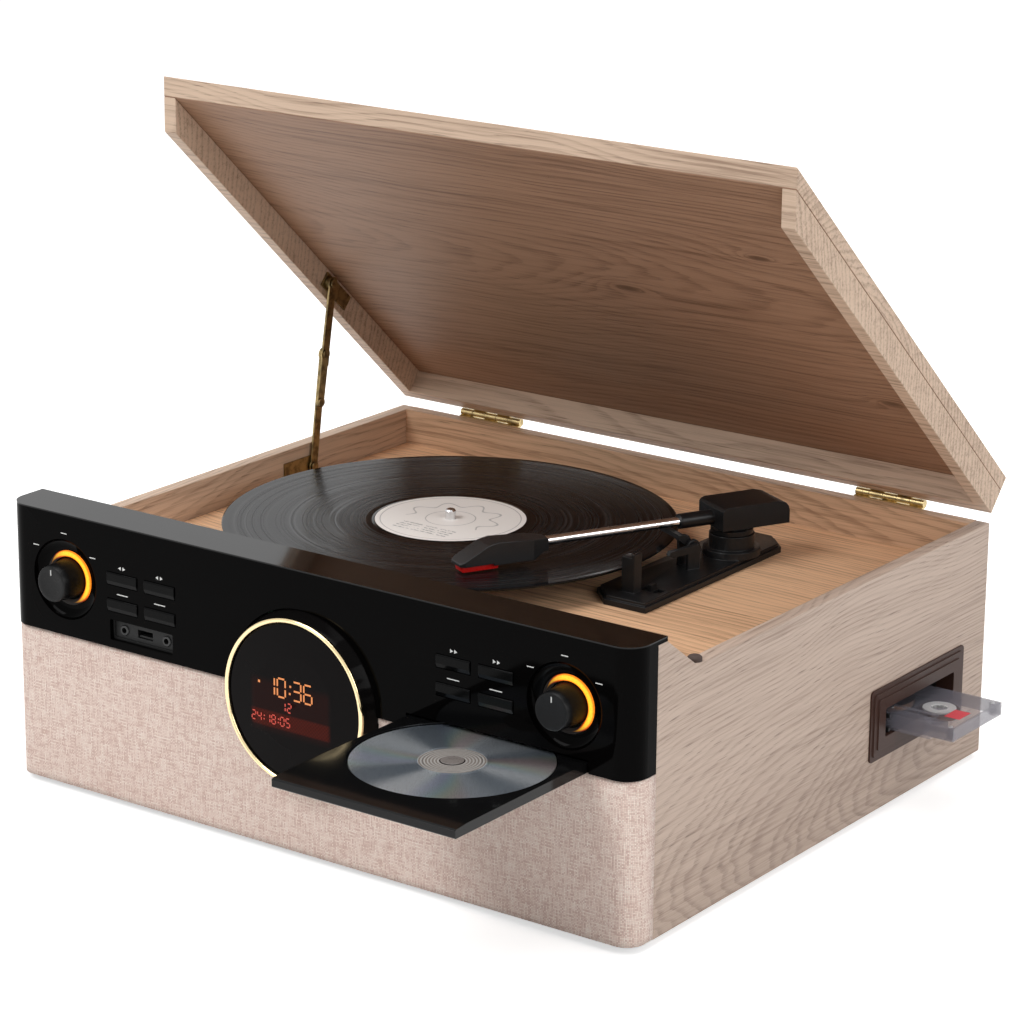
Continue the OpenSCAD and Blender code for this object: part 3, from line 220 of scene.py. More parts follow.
def veneer(name, light, dark, turn=(0, 0, 0), move=(0, 0, 0), heart=(0.0, 0.05), rise=0.12,
           knots=(), inner=None, fine=1.0, soft=1.0):
    """Oak veneer, cut from solid wood whose rings lie about a tilted heart line.

    The grain runs along X of the turned coordinates, and Z through the board. heart is the
    line's place across and below the origin, and rise its slope. knots are places with a size.
    inner gives a height: the face below it takes painted shade, its colour multiplied by a given
    darker tint that stands for shadow.
    fine narrows the rings, and soft below 1 evens them out."""
    rings_per_metre = 235 * fine
    s = Shader(name, turn=turn, move=move)
    x, y, z = s.parts(s.here)
    sway = s.noise((2.6, 4.0, 4.0), 2.0, 0.5)
    ripple = s.noise((20, 90, 90), 3.0, 0.6)
    across = y - heart[0] + (sway - 0.5) * 0.09
    depth = z + x * rise + heart[1] + (ripple - 0.5) * 0.005
    reach = s.radius(across, depth)
    spot = None
    for knot_x, knot_y, size in knots:
        away = ((x - knot_x) ** 2 * 0.12 + (y - knot_y) ** 2) ** 0.5
        pull = 1 / (1 + (away / size) ** 2)
        reach = reach + pull * 0.016
        eye = 1 - away.step(size * 0.1, size * 0.9)
        spot = eye if spot is None else spot.math("MAXIMUM", eye)
    uneven = s.noise(1.0, at=s.point(reach * 60, 0.4, 1.7))
    rings = (reach * rings_per_metre + uneven * 3.0).math("FRACT")
    late = rings.step(0.35, 0.85) * (1 - rings.step(0.88, 1.0))
    fibre = s.noise((24, 1500, 1500), 3.0, 0.65)
    line = s.noise((11, 520, 520), 3.0, 0.65)
    streak = s.noise((4, 120, 120), 2.0, 0.6)
    pore = s.noise((48, 1700, 1700), 1.0, 0.5).step(0.62, 0.70)
    cloud = s.noise((1.6, 6, 6))
    shade = late * 0.30 + line.step(0.45, 0.68) * 0.36 + streak.step(0.38, 0.72) * 0.24
    shade = shade * soft + (1 - soft) * 0.40
    shade = shade + fibre.step(0.35, 0.65) * 0.20 + (cloud - 0.5) * 0.8
    if spot:
        shade = shade + spot * 0.9
    colour = s.mix(shade.step(0.0, 1.1), light, dark)
    colour = s.mix(pore * late.step(0.1, 0.9) * 0.6, colour, shade_of(dark, 0.5))
    if spot:
        colour = s.mix(spot ** 2 * 0.6, colour, shade_of(dark, 0.45))
    # Painted shade: below the given height the wood is darkened by a tint, standing for the shadow
    # on that face.
    if inner:
        level, painted_shade_tint = inner
        colour = s.mix(z < level, colour, s.mix(1.0, colour, painted_shade_tint, "MULTIPLY"))
    relief = fibre * 0.4 - pore * 0.8 - late * 0.25
    return s.surface(colour, 0.42 + fibre * 0.14,
                     Specular_IOR_Level=0.4, Normal=s.bump(relief, 0.0002, 0.5))


def edge_board(name, colour):
    """Raw fibreboard, pale and speckled."""
    s = Shader(name)
    speck = s.noise(900, 3.0, 0.65)
    cloud = s.noise(30)
    tone = s.mix(speck.step(0.35, 0.7), shade_of(colour, 0.72), colour)
    tone = s.mix(cloud.step(0.3, 0.7) * 0.25, tone, shade_of(colour, 0.8))
    return s.surface(tone, 0.85, Normal=s.bump(speck, 0.0002, 0.5))


def polished_black(name, colour, roughness=0.06, level=0.05, lip=None):
    """Gloss moulding with faint polishing waves and dust; above lip it has a half coat."""
    s = Shader(name)
    wave = s.noise(14)
    dust = s.noise(2600, 1.0).step(0.77, 0.81)
    rough = roughness + dust * 0.25 + s.noise(60, 3.0).step(0.4, 0.8) * 0.03
    tone = s.mix(dust * 0.12, colour, (0.2, 0.19, 0.18))
    coat = {}
    if lip:
        height = s.parts(s.here)[2]
        coat = {"Coat_Weight": height.step(lip - 0.0012, lip - 0.0004) * 0.5,
                "Coat_Roughness": 0.08}
    return s.surface(tone, rough, Specular_IOR_Level=level,
                     Normal=s.bump(wave, 0.0006, 0.15), **coat)


def moulded(name, colour, grain=1800, depth=0.00012, roughness=0.45, worn=0.25, level=0.2):
    """Moulded plastic with a spark-eroded grain."""
    s = Shader(name)
    grains = s.noise(grain, 2.0, 0.6)
    cloud = s.noise(45, 3.0)
    rubbed = tuple(min(1, c * 1.5 + 0.002) for c in colour)
    tone = s.mix(cloud.step(0.35, 0.75) * worn, colour, rubbed)
    rough = roughness + (grains - 0.5) * 0.2 + (cloud - 0.5) * 0.12
    return s.surface(tone, rough, Specular_IOR_Level=level,
                     Normal=s.bump(grains, depth, 0.6))


def metal(name, colour, roughness=0.22, tarnish=None, amount=0.6):
    """Bare or plated metal with fine marks and, if given, a darker tarnish."""
    s = Shader(name)
    marks = s.noise(1400, 3.0, 0.6)
    cloud = s.noise(160, 3.0, 0.6)
    tone = s.mix(marks * 0.25, colour, shade_of(colour, 0.8))
    if tarnish:
        tone = s.mix(cloud.step(0.4, 0.68) * amount, tone, tarnish)
    rough = roughness + (marks - 0.5) * 0.12 + cloud.step(0.4, 0.8) * 0.12
    return s.surface(tone, rough, Metallic=1.0,
                     Normal=s.bump(marks, 0.00004, 0.4))


def soft_rubber(name, colour):
    """Matt rubber or felt with dust on it."""
    s = Shader(name)
    grains = s.noise(1500)
    dust = s.noise(120, 3.0).step(0.45, 0.75)
    tone = s.mix(dust * 0.2, colour, tuple(c + 0.06 for c in colour))
    return s.surface(tone, 0.8 + grains * 0.1,
                     Normal=s.bump(grains, 0.0001, 0.5))


def circuit(name, colour):
    """Lacquered board with tracks and pads."""
    s = Shader(name)
    track = s.node("TexBrick", {"offset": 0.37},
                   {"Vector": s.here, "Scale": 160.0, "Mortar Size": 0.012, "Color1": colour,
                    "Color2": shade_of(colour, 0.8), "Mortar": (0.25, 0.42, 0.2)})
    return s.surface(track, 0.3 + s.noise(300) * 0.15)


def woven_cloth(name, props):
    """Two-tone linen weave on the cloth's own UV, in metres."""
    s = Shader(name)
    uv = s.node("UVMap", {"uv_map": "cloth"})
    pitch = props.thread_pitch
    drift = 0.0012
    slub_length = 110
    slub = s.noise((90, 25, 60), at=uv)
    bend = s.noise((25, 90, 60), at=uv)
    u, v, _ = s.parts(uv)
    u = u + (bend - 0.5) * drift
    v = v + (slub - 0.5) * drift
    warp = abs((u * (math.pi / pitch)).math("SINE"))
    weft = abs((v * (math.pi / pitch)).math("SINE"))
    column = (u / pitch).math("FLOOR")
    row = (v / pitch).math("FLOOR")
    over = ((column + row) * 0.5).math("FRACT") > 0.25
    under = 1 - over
    weft_tone = s.noise(1.0, 2.0, 0.6, s.point(u * slub_length, row * 7.3, 3.1))
    warp_tone = s.noise(1.0, 2.0, 0.6, s.point(column * 5.7, v * slub_length, 9.4))
    tone = over * weft_tone + under * warp_tone
    pale, rose = tuple(props.cloth_pale), tuple(props.cloth_rose)
    cream = tuple(min(1, c * f) for c, f in zip(pale, (1.07, 1.14, 1.16)))
    colour = s.mix(tone.step(0.30, 0.48), cream, pale)
    colour = s.mix(tone.step(0.44, 0.66), colour, rose)
    crown = over * weft + under * warp
    cross = over * warp + under * weft
    # Painted shade: the hollows between the threads are darkened towards a dark rose.
    colour = s.mix((1 - crown) ** 2 * 0.6, colour, shade_of(rose, 0.5))
    return s.surface(colour, 0.9, Sheen_Weight=0.1,
                     Normal=s.bump(crown * 0.7 + cross * 0.4, 0.0003, 0.7))


def grooved_vinyl(name, centre, pitch):
    """Record face: a fine groove that leans the normal outwards and inwards."""
    s = Shader(name, move=centre)
    x, y, _ = s.parts(s.here)
    radius = s.radius(x, y)
    rings = s.noise(1.0, 4.0, 0.7, s.point(radius * 900, 0.3, 0.7))
    cuts = s.noise(1.0, 0.0, at=s.point(radius * 55, 4.1, 2.2))
    track = abs(cuts - 0.5).step(0.0, 0.012)
    cut = track * radius.step(0.0555, 0.056) * (1 - radius.step(0.1465, 0.147))
    wave = (radius * (2 * math.pi / pitch)).math("SINE")
    lean = wave * cut * 0.11 / (radius + 0.001)
    world = s.node("VectorTransform", {"vector_type": "VECTOR", "convert_from": "OBJECT",
                                       "convert_to": "WORLD"},
                   {0: s.point(x * lean, y * lean, 0.0)})
    normal = s.node("VectorMath", {"operation": "ADD"}, {0: s.node("NewGeometry", out=1), 1: world})
    normal = s.node("VectorMath", {"operation": "NORMALIZE"}, {0: normal})
    tone = s.mix(rings.step(0.35, 0.7), (0.0015, 0.0015, 0.002), (0.008, 0.008, 0.009))
    # Painted highlight: the smooth bands between tracks get a lighter colour for the light they
    # catch.
    tone = s.mix((1 - track) * 0.7, tone, (0.05, 0.05, 0.052))
    return s.surface(tone, 0.10 + rings.step(0.3, 0.7) * 0.24 * cut,
                     Specular_IOR_Level=0.14, Normal=normal)


def read_side(name, centre):
    """Silver disc with painted sheen and painted rainbow fans set by the angle round it, and a
    clear hub.
    """
    clear_radius = 0.020
    s = Shader(name, move=centre)
    x, y, _ = s.parts(s.here)
    radius = s.radius(x, y)
    angle = y.math("ARCTAN2", x)
    # Painted reflection: rainbow fans and a lighter and darker silver sheen, set by the angle round
    # the disc.
    painted_rainbow_fan = abs((angle * 2 + 0.6).math("SINE")).step(0.72, 1.0)
    painted_sheen = (angle * 4 + 0.9).math("SINE") * 0.3 + (angle * 7).math("SINE") * 0.2 + 0.5
    hue = (angle * 5.0 + radius * 40).math("SINE") * 0.5 + 0.5
    painted_rainbow = s.node("ValToRGB", {"stops": (
        (0.0, (0.75, 0.42, 0.36)), (0.35, (0.62, 0.66, 0.38)),
        (0.65, (0.36, 0.66, 0.62)), (1.0, (0.42, 0.46, 0.75)))}, {0: hue})
    clear = 1 - radius.step(clear_radius - 0.0005, clear_radius + 0.0005)
    silver = s.mix(painted_sheen.step(0.1, 0.9), (0.30, 0.35, 0.41), (0.90, 0.95, 1.0))
    moulding = (radius * 3200).math("SINE") * 0.5 + 0.5
    hub = s.mix(moulding.step(0.2, 0.9), (0.20, 0.17, 0.15), (0.42, 0.40, 0.38))
    tone = s.mix(clear, s.mix(painted_rainbow_fan * 0.4, silver, painted_rainbow), hub)
    dust = s.noise(1800)
    return s.surface(tone, 0.24 + dust * 0.08, Metallic=0.86 - clear * 0.7,
                     Normal=s.bump(dust, 0.000005, 0.2))


def glow_ring(name, centre, colour, strength):
    """Light ring whose glow runs round one side and narrows towards both ends."""
    glow_radius = 0.0161
    s = Shader(name, move=centre)
    x, _, z = s.parts(s.here)
    angle = x.math("ARCTAN2", z)
    shine = (angle + 1.25).step(0.0, 1.2) * (1 - (angle - 1.9).step(0.0, 1.1))
    offset = abs((s.radius(x, z) - glow_radius) * 430)
    core = 1 - (offset / (shine + 0.02)).step(0.35, 0.95)
    rim = 1 - (offset / (shine + 0.02)).step(0.7, 1.5)
    dots = s.noise(900).step(0.2, 0.8) * 0.3 + 0.7
    red = tuple(c * f for c, f in zip(colour, (0.75, 0.30, 0.3)))
    shade = s.mix(rim * shine * dots, (0.0, 0.0, 0.0), s.mix(core, red, (1.0, 0.52, 0.03)))
    return s.surface((0.012, 0.008, 0.006), 0.35, Specular_IOR_Level=0.1,
                     Emission_Color=shade, Emission_Strength=strength)


def lit(name, colour, strength):
    """Lit element of the display, slightly uneven."""
    s = Shader(name)
    tone = s.mix(s.noise(400), colour, shade_of(colour, 0.7))
    return s.surface((0.02, 0.01, 0.01), 0.4, Emission_Color=tone,
                     Emission_Strength=strength)


def smoked_glass(name):
    """Cover glass, near black, with painted glow: a red cast where the lit display lies behind it,
    and a brighter dotted row.
    """
    s = Shader(name, move=BEZEL_CENTRE)
    x, _, z = s.parts(s.here)
    panel = x.near(-0.002, 0.028, 0.032) * z.near(-0.005, 0.013, 0.019)
    band = z.near(-0.0135, 0.004, 0.006) * panel
    painted_glow_dots = (x * 2600).math("SINE") * (z * 2600).math("SINE") * 0.5 + 0.5
    # Painted glow of the lit display seen through the glass: red over its area, brighter along a
    # dotted row.
    tone = s.mix(panel * 0.7, (0.003, 0.002, 0.002), (0.018, 0.003, 0.002))
    tone = s.mix(band * (painted_glow_dots * 0.5 + 0.3), tone, (0.10, 0.010, 0.004))
    return s.surface(tone, 0.05 + s.noise(80, 3.0) * 0.03,
                     Specular_IOR_Level=0.05)


def clear_shell(name, colour, alpha):
    """Clear plastic with a slight haze."""
    s = Shader(name)
    haze = s.noise(200, 3.0)
    tone = s.mix(haze * 0.3, colour, shade_of(colour, 0.8))
    return s.surface(tone, 0.08 + haze * 0.08, Alpha=alpha + haze * 0.08,
                     Specular_IOR_Level=0.5)


def paper(name, colour, centre=None):
    """Printed paper; with a centre, a generic label of thin rings, bars and a petal line."""
    s = Shader(name, move=centre or (0, 0, 0))
    fibre = s.noise(1500, 3.0)
    tone = s.mix(fibre * 0.25, colour, shade_of(colour, 0.86))
    if centre:
        x, y, _ = s.parts(s.here)
        radius = s.radius(x, y)
        rings = radius.near(0.0465, 0.0002, 0.0005)
        rings = rings.math("MAXIMUM", radius.near(0.0165, 0.0002, 0.0005))
        lines = y * 260
        rows = abs(lines.math("FRACT") - 0.5).step(0.28, 0.34)
        words = s.noise(1.0, 1.0, at=s.point(x * 330, lines.math("FLOOR") * 3.7, 0.0))
        band = y.near(-0.030, 0.0075, 0.008) * x.near(0, 0.021, 0.022)
        petals = (y.math("ARCTAN2", x) * 9).math("SINE") * 0.004 + 0.030
        bloom = (radius - petals).near(0, 0.0004, 0.0011) * (y + 0.012).step(0.0, 0.002)
        marks = (rows * words.step(0.44, 0.5) * band).math("MAXIMUM", rings * 0.8)
        marks = marks.math("MAXIMUM", bloom * 0.75)
        tone = s.mix(marks * 0.62, tone, (0.12, 0.12, 0.13))
    return s.surface(tone, 0.55, Normal=s.bump(fibre, 0.00005, 0.3))


FINISHES = {}


def finish(name, make, *args, **kwargs):
    """Makes a finish once and hands it out from then on."""
    if name not in FINISHES:
        FINISHES[name] = make(name, *args, **kwargs)
    return FINISHES[name]


def steel():
    return finish("screw_steel", metal, (0.55, 0.55, 0.56), 0.3)


def ink():
    return finish("key_ink", moulded, (0.72, 0.72, 0.70), 900, 0.00002, 0.5, 0.1)


# ---- Mesh helpers ----

def add_piece(name, bm, body, material, smooth=35):
    """Turns a bmesh into a piece that rides on a body."""
    mesh = bpy.data.meshes.new(name)
    bm.normal_update()
    bm.to_mesh(mesh)
    bm.free()
    mesh.materials.append(material)
    for face in mesh.polygons:
        face.use_smooth = True
    mesh.set_sharp_from_angle(angle=math.radians(smooth))
    made = bpy.data.objects.new(name, mesh)
    bpy.context.scene.collection.objects.link(made)
    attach(made, body)
    return made


def softened(node, body, material, width, segments=2, angle=30):
    """Copy of a solid with its sharp edges rounded by a width in millimetres.

    It stands for the solid."""
    bm = bmesh.new()
    bm.from_mesh(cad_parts[node].data)
    bmesh.ops.remove_doubles(bm, verts=bm.verts, dist=1e-6)
    bmesh.ops.dissolve_limit(bm, angle_limit=math.radians(0.5), verts=bm.verts, edges=bm.edges)
    made = add_piece(node + "_skin", bm, body, material, smooth=angle)
    bevel = made.modifiers.new("edge", "BEVEL")
    bevel.width = width * MM
    bevel.segments = segments
    bevel.limit_method = "ANGLE"
    bevel.angle_limit = math.radians(angle)
    bevel.harden_normals = True
    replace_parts(made, node)


def dress(node, *look):
    """Gives a solid that keeps its shape the finish of a name, a maker and its values."""
    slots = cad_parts[node].data.materials
    slots.clear()
    slots.append(finish(*look))


def aimed(centre, axis):
    """Matrix that moves the origin to a centre and turns Z to an axis."""
    turn = Vector((0, 0, 1)).rotation_difference(Vector(axis)).to_matrix().to_4x4()
    return Matrix.Translation(centre) @ turn


def box_mesh(bm, low, high):
    low, high = Vector(low), Vector(high)
    matrix = Matrix.Translation((low + high) / 2) @ Matrix.Diagonal((*(high - low), 1))
    return bmesh.ops.create_cube(bm, size=1, matrix=matrix)["verts"]


def rod_mesh(bm, centre, axis, radius, length, sides):
    """Closed rod about an axis through a centre, sized in millimetres."""
    return bmesh.ops.create_cone(bm, cap_ends=True, segments=sides, radius1=radius * MM,
                                 radius2=radius * MM, depth=length * MM,
                                 matrix=aimed(centre, axis))["verts"]


def turned_mesh(bm, profile, centre, axis, sides=64):
    """Turned shape: profile is a list of (radius, along) points in millimetres.

    A profile that starts off the axis is closed into a ring."""
    before = set(bm.verts)
    verts = [bm.verts.new((r * MM, 0, h * MM)) for r, h in profile]
    edges = [bm.edges.new(pair) for pair in zip(verts, verts[1:])]
    if profile[0][0] > 0:
        edges.append(bm.edges.new((verts[-1], verts[0])))
    bmesh.ops.spin(bm, geom=verts + edges, cent=(0, 0, 0), axis=(0, 0, 1),
                   angle=2 * math.pi, steps=sides, use_merge=True)
    added = [v for v in bm.verts if v not in before]
    bmesh.ops.remove_doubles(bm, verts=added, dist=1e-7)
    added = [v for v in added if v.is_valid]
    bmesh.ops.transform(bm, matrix=aimed(centre, axis), verts=added)
    faces = list({f for v in added for f in v.link_faces})
    bmesh.ops.recalc_face_normals(bm, faces=faces)


def screw_mesh(bm, centre, axis, radius, height):
    """Domed screw head with a cross in it, sized in millimetres."""
    profile = [(0, height), (radius * 0.55, height * 0.93), (radius * 0.9, height * 0.55),
               (radius, 0.0), (0, 0.0)]
    turned_mesh(bm, profile, centre, axis, 24)
    for spin in (0.4, 0.4 + math.pi / 2):
        matrix = (aimed(centre, axis) @ Matrix.Rotation(spin, 4, "Z") @ Matrix.Scale(MM, 4)
                  @ Matrix.Translation((0, 0, height * 0.97))
                  @ Matrix.Diagonal((radius * 1.15, radius * 0.2, height * 0.2, 1)))
        bmesh.ops.create_cube(bm, size=1, matrix=matrix)


def eased(bm, width):
    """Rounds every edge of a bmesh by a width in millimetres."""
    bmesh.ops.bevel(bm, geom=list(bm.edges), offset=width * MM, segments=2, profile=0.5,
                    affect="EDGES", material=-1)


# ---- Settings ----

def colour_setting(name, description, default):
    return bpy.props.FloatVectorProperty(name=name, description=description, default=default,
                                         subtype="COLOR", size=3, min=0, max=1)


def length_setting(name, description, default, low, high):
    return bpy.props.FloatProperty(name=name, description=description, default=default,
                                   subtype="DISTANCE", min=low, max=high)


class MusicCentreSettings(bpy.types.PropertyGroup):
    """Sizes and colours that a user would change."""
    wood_light: colour_setting("Wood Light", "Early wood of the veneer", (0.68, 0.505, 0.375))
    wood_dark: colour_setting("Wood Dark", "Late wood and pores of the veneer",
                              (0.34, 0.225, 0.155))
    cloth_pale: colour_setting("Cloth Pale", "Pale threads of the grille cloth",
                               (0.93, 0.76, 0.67))
    cloth_rose: colour_setting("Cloth Rose", "Darker threads of the grille cloth",
                               (0.72, 0.50, 0.43))
    thread_pitch: length_setting("Thread Pitch", "Distance between threads of the cloth",
                                 0.00105, 0.0005, 0.003)
    groove_pitch: length_setting("Groove Pitch", "Distance between the record's drawn grooves",
                                 0.0007, 0.0002, 0.002)
    glow: colour_setting("Ring Glow", "Colour of the light rings", (1.0, 0.30, 0.02))
    digits: colour_setting("Digits", "Colour of the display's digits", (0.95, 0.30, 0.06))
    edge: length_setting("Board Edge", "Rounding of the wooden boards' edges",
                         0.0006, 0.0001, 0.002)


def settings():
    return bpy.context.scene.music_centre


def board(node, body, kind, board_tint=(1, 1, 1), **grain):
    """Wooden board with its own veneer; the given factors multiply the wood's colours, making the
    deck board lighter, the right side board darker and greyer, and the back warmer.
    """
    props = settings()
    tones = [tuple(c * f for c, f in zip(tone, board_tint))
             for tone in (props.wood_light, props.wood_dark)]
    softened(node, body, finish(kind, veneer, *tones, **grain), props.edge / MM)


# ---- Stage ----

class MUSIC_OT_stage(bpy.types.Operator):
    """Floor, soft studio light and the camera at the photograph's angle"""
    bl_idname = "music.stage"
    bl_label = "Stage"

    def camera(self):
        """Camera solved from the corners of the case in the photograph."""
        yaw, pitch, roll = 0.625866669, 0.296028876, 0.00759208777
        place = (1.29588427, -1.7855609, 0.84797011)
        lens_in_pixels, picture_width, sensor = 3569.6081, 1024, 36
        ahead = Vector((-math.sin(yaw) * math.cos(pitch), math.cos(yaw) * math.cos(pitch),
                        -math.sin(pitch)))
        right = Vector((math.cos(yaw), math.sin(yaw), 0))
        up = right.cross(ahead)
        tilted = math.cos(roll) * right + math.sin(roll) * up
        upright = -math.sin(roll) * right + math.cos(roll) * up
        data = bpy.data.cameras.new("view")
        data.sensor_width = sensor
        data.lens = lens_in_pixels / picture_width * sensor
        data.clip_end = 50
        made = bpy.data.objects.new("view", data)
        axes = Matrix((tilted, upright, -ahead)).transposed().to_4x4()
        made.matrix_world = Matrix.Translation(place) @ axes
        bpy.context.scene.collection.objects.link(made)
        bpy.context.scene.camera = made

    def lamp(self, name, place, size, power):
        """Area lamp aimed at the object."""
        data = bpy.data.lights.new(name, "AREA")
        data.shape = "RECTANGLE"
        data.size, data.size_y = size
        data.energy = power
        made = bpy.data.objects.new(name, data)
        made.location = place
        aim = Vector((0, 0, 0.1)) - Vector(place)
        made.rotation_euler = aim.to_track_quat("-Z", "Y").to_euler()
        bpy.context.scene.collection.objects.link(made)

    def floor(self):
        """Pale floor that lights plainly and is seen as white."""
        bm = bmesh.new()
        bmesh.ops.create_grid(bm, x_segments=1, y_segments=1, size=20)
        mesh = bpy.data.meshes.new("floor")
        bm.to_mesh(mesh)
        bm.free()
        made = bpy.data.objects.new("floor", mesh)
        bpy.context.scene.collection.objects.link(made)
        s = Shader("floor")
        plain = s.node("BsdfDiffuse", None, {0: (0.82, 0.815, 0.81)})
        glow = s.node("Emission", None, {0: WHITE, 1: 0.6})
        bright = s.node("AddShader", None, {0: plain, 1: glow})
        pick = s.node("MixShader", None, {0: s.seen_directly(), 1: plain, 2: bright})
        mesh.materials.append(s.end(pick))

    def world(self):
        """White backdrop whose light on the object is weaker than it looks."""
        s = Shader("studio", "World")
        light = s.node("Background", None, {0: WHITE, 1: 0.36})
        seen = s.node("Background", None, {0: WHITE, 1: 1.0})
        blend = s.node("MixShader", None, {0: s.seen_directly(), 1: light, 2: seen})
        bpy.context.scene.world = s.end(blend)

    def execute(self, context):
        self.camera()
        self.floor()
        self.world()
        self.lamp("key", (-1.0, -2.2, 2.6), (1.8, 1.4), 52)
        self.lamp("side", (2.8, -0.4, 1.5), (1.4, 1.4), 26)
        self.lamp("top", (0.0, 0.3, 3.0), (2.0, 2.0), 44)
        context.scene.view_settings.view_transform = "Standard"
        return {"FINISHED"}


# ---- Cabinet ----

class MUSIC_OT_cabinet(bpy.types.Operator):
    """Wooden boards of the case with veneer and slightly rounded edges"""
    bl_idname = "music.cabinet"
    bl_label = "Cabinet Boards"

    def execute(self, context):
        quarter = math.radians(90)
        along_side = (0, quarter, quarter)
        board("side_left", "cabinet", "oak_side_left", turn=along_side, move=(-0.24, 0, 0.08),
              heart=(0.03, 0.06))
        board("side_right", "cabinet", "oak_side_right", (0.84, 0.88, 0.97), turn=along_side,
              move=(0.24, 0, 0.08), heart=(-0.05, 0.05), rise=0.16, fine=1.5, soft=0.72)
        board("rear_panel", "cabinet", "oak_rear", (1.10, 0.99, 0.86), turn=(quarter, 0, 0),
              move=(0, 0.2, 0.08), heart=(-0.02, 0.06))
        board("front_rail", "cabinet", "oak_rail", move=(0, -0.15, 0.15), heart=(0.2, 0.1))
        board("deck_board", "cabinet", "oak_deck", (1.40, 1.20, 0.98), move=(0, 0.02, 0.13),
              heart=(-0.16, 0.07), rise=0.09)
        softened("base_panel", "cabinet", finish("fibreboard", edge_board, (0.42, 0.31, 0.2)),
                 settings().edge / MM)
        dress("feet", "foot_rubber", soft_rubber, (0.03, 0.03, 0.03))
        dress("bumpers", "bumper_rubber", soft_rubber, (0.055, 0.035, 0.028))
        foot_radius, screw_depth = 9.6 * MM, 1.2 * MM
        high = corners("feet")[1]
        bm = bmesh.new()
        for x in (-1, 1):
            for y in (-1, 1):
                foot = (x * (high.x - foot_radius), y * (high.y - foot_radius), screw_depth)
                screw_mesh(bm, foot, (0, 0, -1), 3, 1.1)
        add_piece("foot_screws", bm, "cabinet", steel())
        return {"FINISHED"}


class MUSIC_OT_grille(bpy.types.Operator):
    """Cloth stretched round the lower front, cut away round the display"""
    bl_idname = "music.grille"
    bl_label = "Grille Cloth"

    fold = 12.5 * MM
    hole = 57.2 * MM
    hem = 0.4 * MM
    rows = 24

    def path(self, low, high):
        """Way of the cloth in plan, from one side board round the front to the other."""
        turns, runs = 12, 60
        inner = high.x - self.fold
        points = [Vector((-high.x, high.y))]

        def corner(x, start):
            for i in range(turns + 1):
                a = start + i / turns * math.pi / 2
                points.append(Vector((x + self.fold * math.cos(a),
                                      low.y + self.fold + self.fold * math.sin(a))))

        corner(-inner, math.pi)
        points.extend(Vector((-inner + 2 * inner * i / runs, low.y)) for i in range(1, runs))
        corner(inner, 1.5 * math.pi)
        points.append(Vector((high.x, high.y)))
        return points

    def out_from_display(self, v):
        """Vector from the display's centre to a vertex, in the plane of the front."""
        return Vector((v.co.x, v.co.z)) - Vector((0, BEZEL_CENTRE.z))

    def cut_hole(self, bm, low, high):
        """Takes out the faces behind the display and brings the cut edge onto its circle."""
        gone = [f for f in bm.faces
                if all(self.out_from_display(v).length < self.hole for v in f.verts)]
        bmesh.ops.delete(bm, geom=gone, context="FACES")
        rim = {v for e in bm.edges if e.is_boundary for v in e.verts
               if self.out_from_display(v).length < self.hole + 12 * MM
               and low.z + 2 * MM < v.co.z < high.z - MM and v.co.y < low.y + MM}
        for v in rim:
            away = self.out_from_display(v).normalized() * self.hole
            v.co.x, v.co.z = away.x, BEZEL_CENTRE.z + away.y

    def execute(self, context):
        low, high = corners("grille_cloth")
        path = self.path(low, high)
        height = high.z - low.z - 2 * self.hem
        bm = bmesh.new()
        layer = bm.loops.layers.uv.new("cloth")
        first = [bm.verts.new((p.x, p.y, low.z + self.hem)) for p in path]
        edges = [bm.edges.new(pair) for pair in zip(first, first[1:])]
        for _ in range(self.rows):
            made = bmesh.ops.extrude_edge_only(bm, edges=edges)["geom"]
            fresh = {g for g in made if isinstance(g, bmesh.types.BMVert)}
            edges = [g for g in made if isinstance(g, bmesh.types.BMEdge)
                     and all(v in fresh for v in g.verts)]
            bmesh.ops.translate(bm, verts=list(fresh), vec=(0, 0, height / self.rows))
        bmesh.ops.recalc_face_normals(bm, faces=bm.faces)
        if sum(f.normal.y for f in bm.faces) > 0:
            bmesh.ops.reverse_faces(bm, faces=bm.faces)
        self.cut_hole(bm, low, high)
        along, length = {}, 0.0
        for i, p in enumerate(path):
            length += (p - path[i - 1]).length if i else 0
            along[(round(p.x, 6), round(p.y, 6))] = length
        for face in bm.faces:
            for loop in face.loops:
                at = loop.vert.co
                on_front = at.y < low.y + 1e-5
                run = (at.x + length / 2 if on_front
                       else along[(round(at.x, 6), round(at.y, 6))])
                loop[layer].uv = (run, at.z)
        cloth = add_piece("grille_fabric", bm, "cabinet",
                          finish("linen", woven_cloth, settings()), smooth=60)
        wall = cloth.modifiers.new("thickness", "SOLIDIFY")
        wall.thickness = MM
        wall.offset = -1
        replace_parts(cloth, "grille_cloth")
        dress("grille_frame", "frame_black", moulded, (0.02, 0.02, 0.02))
        return {"FINISHED"}


# ---- Fascia ----

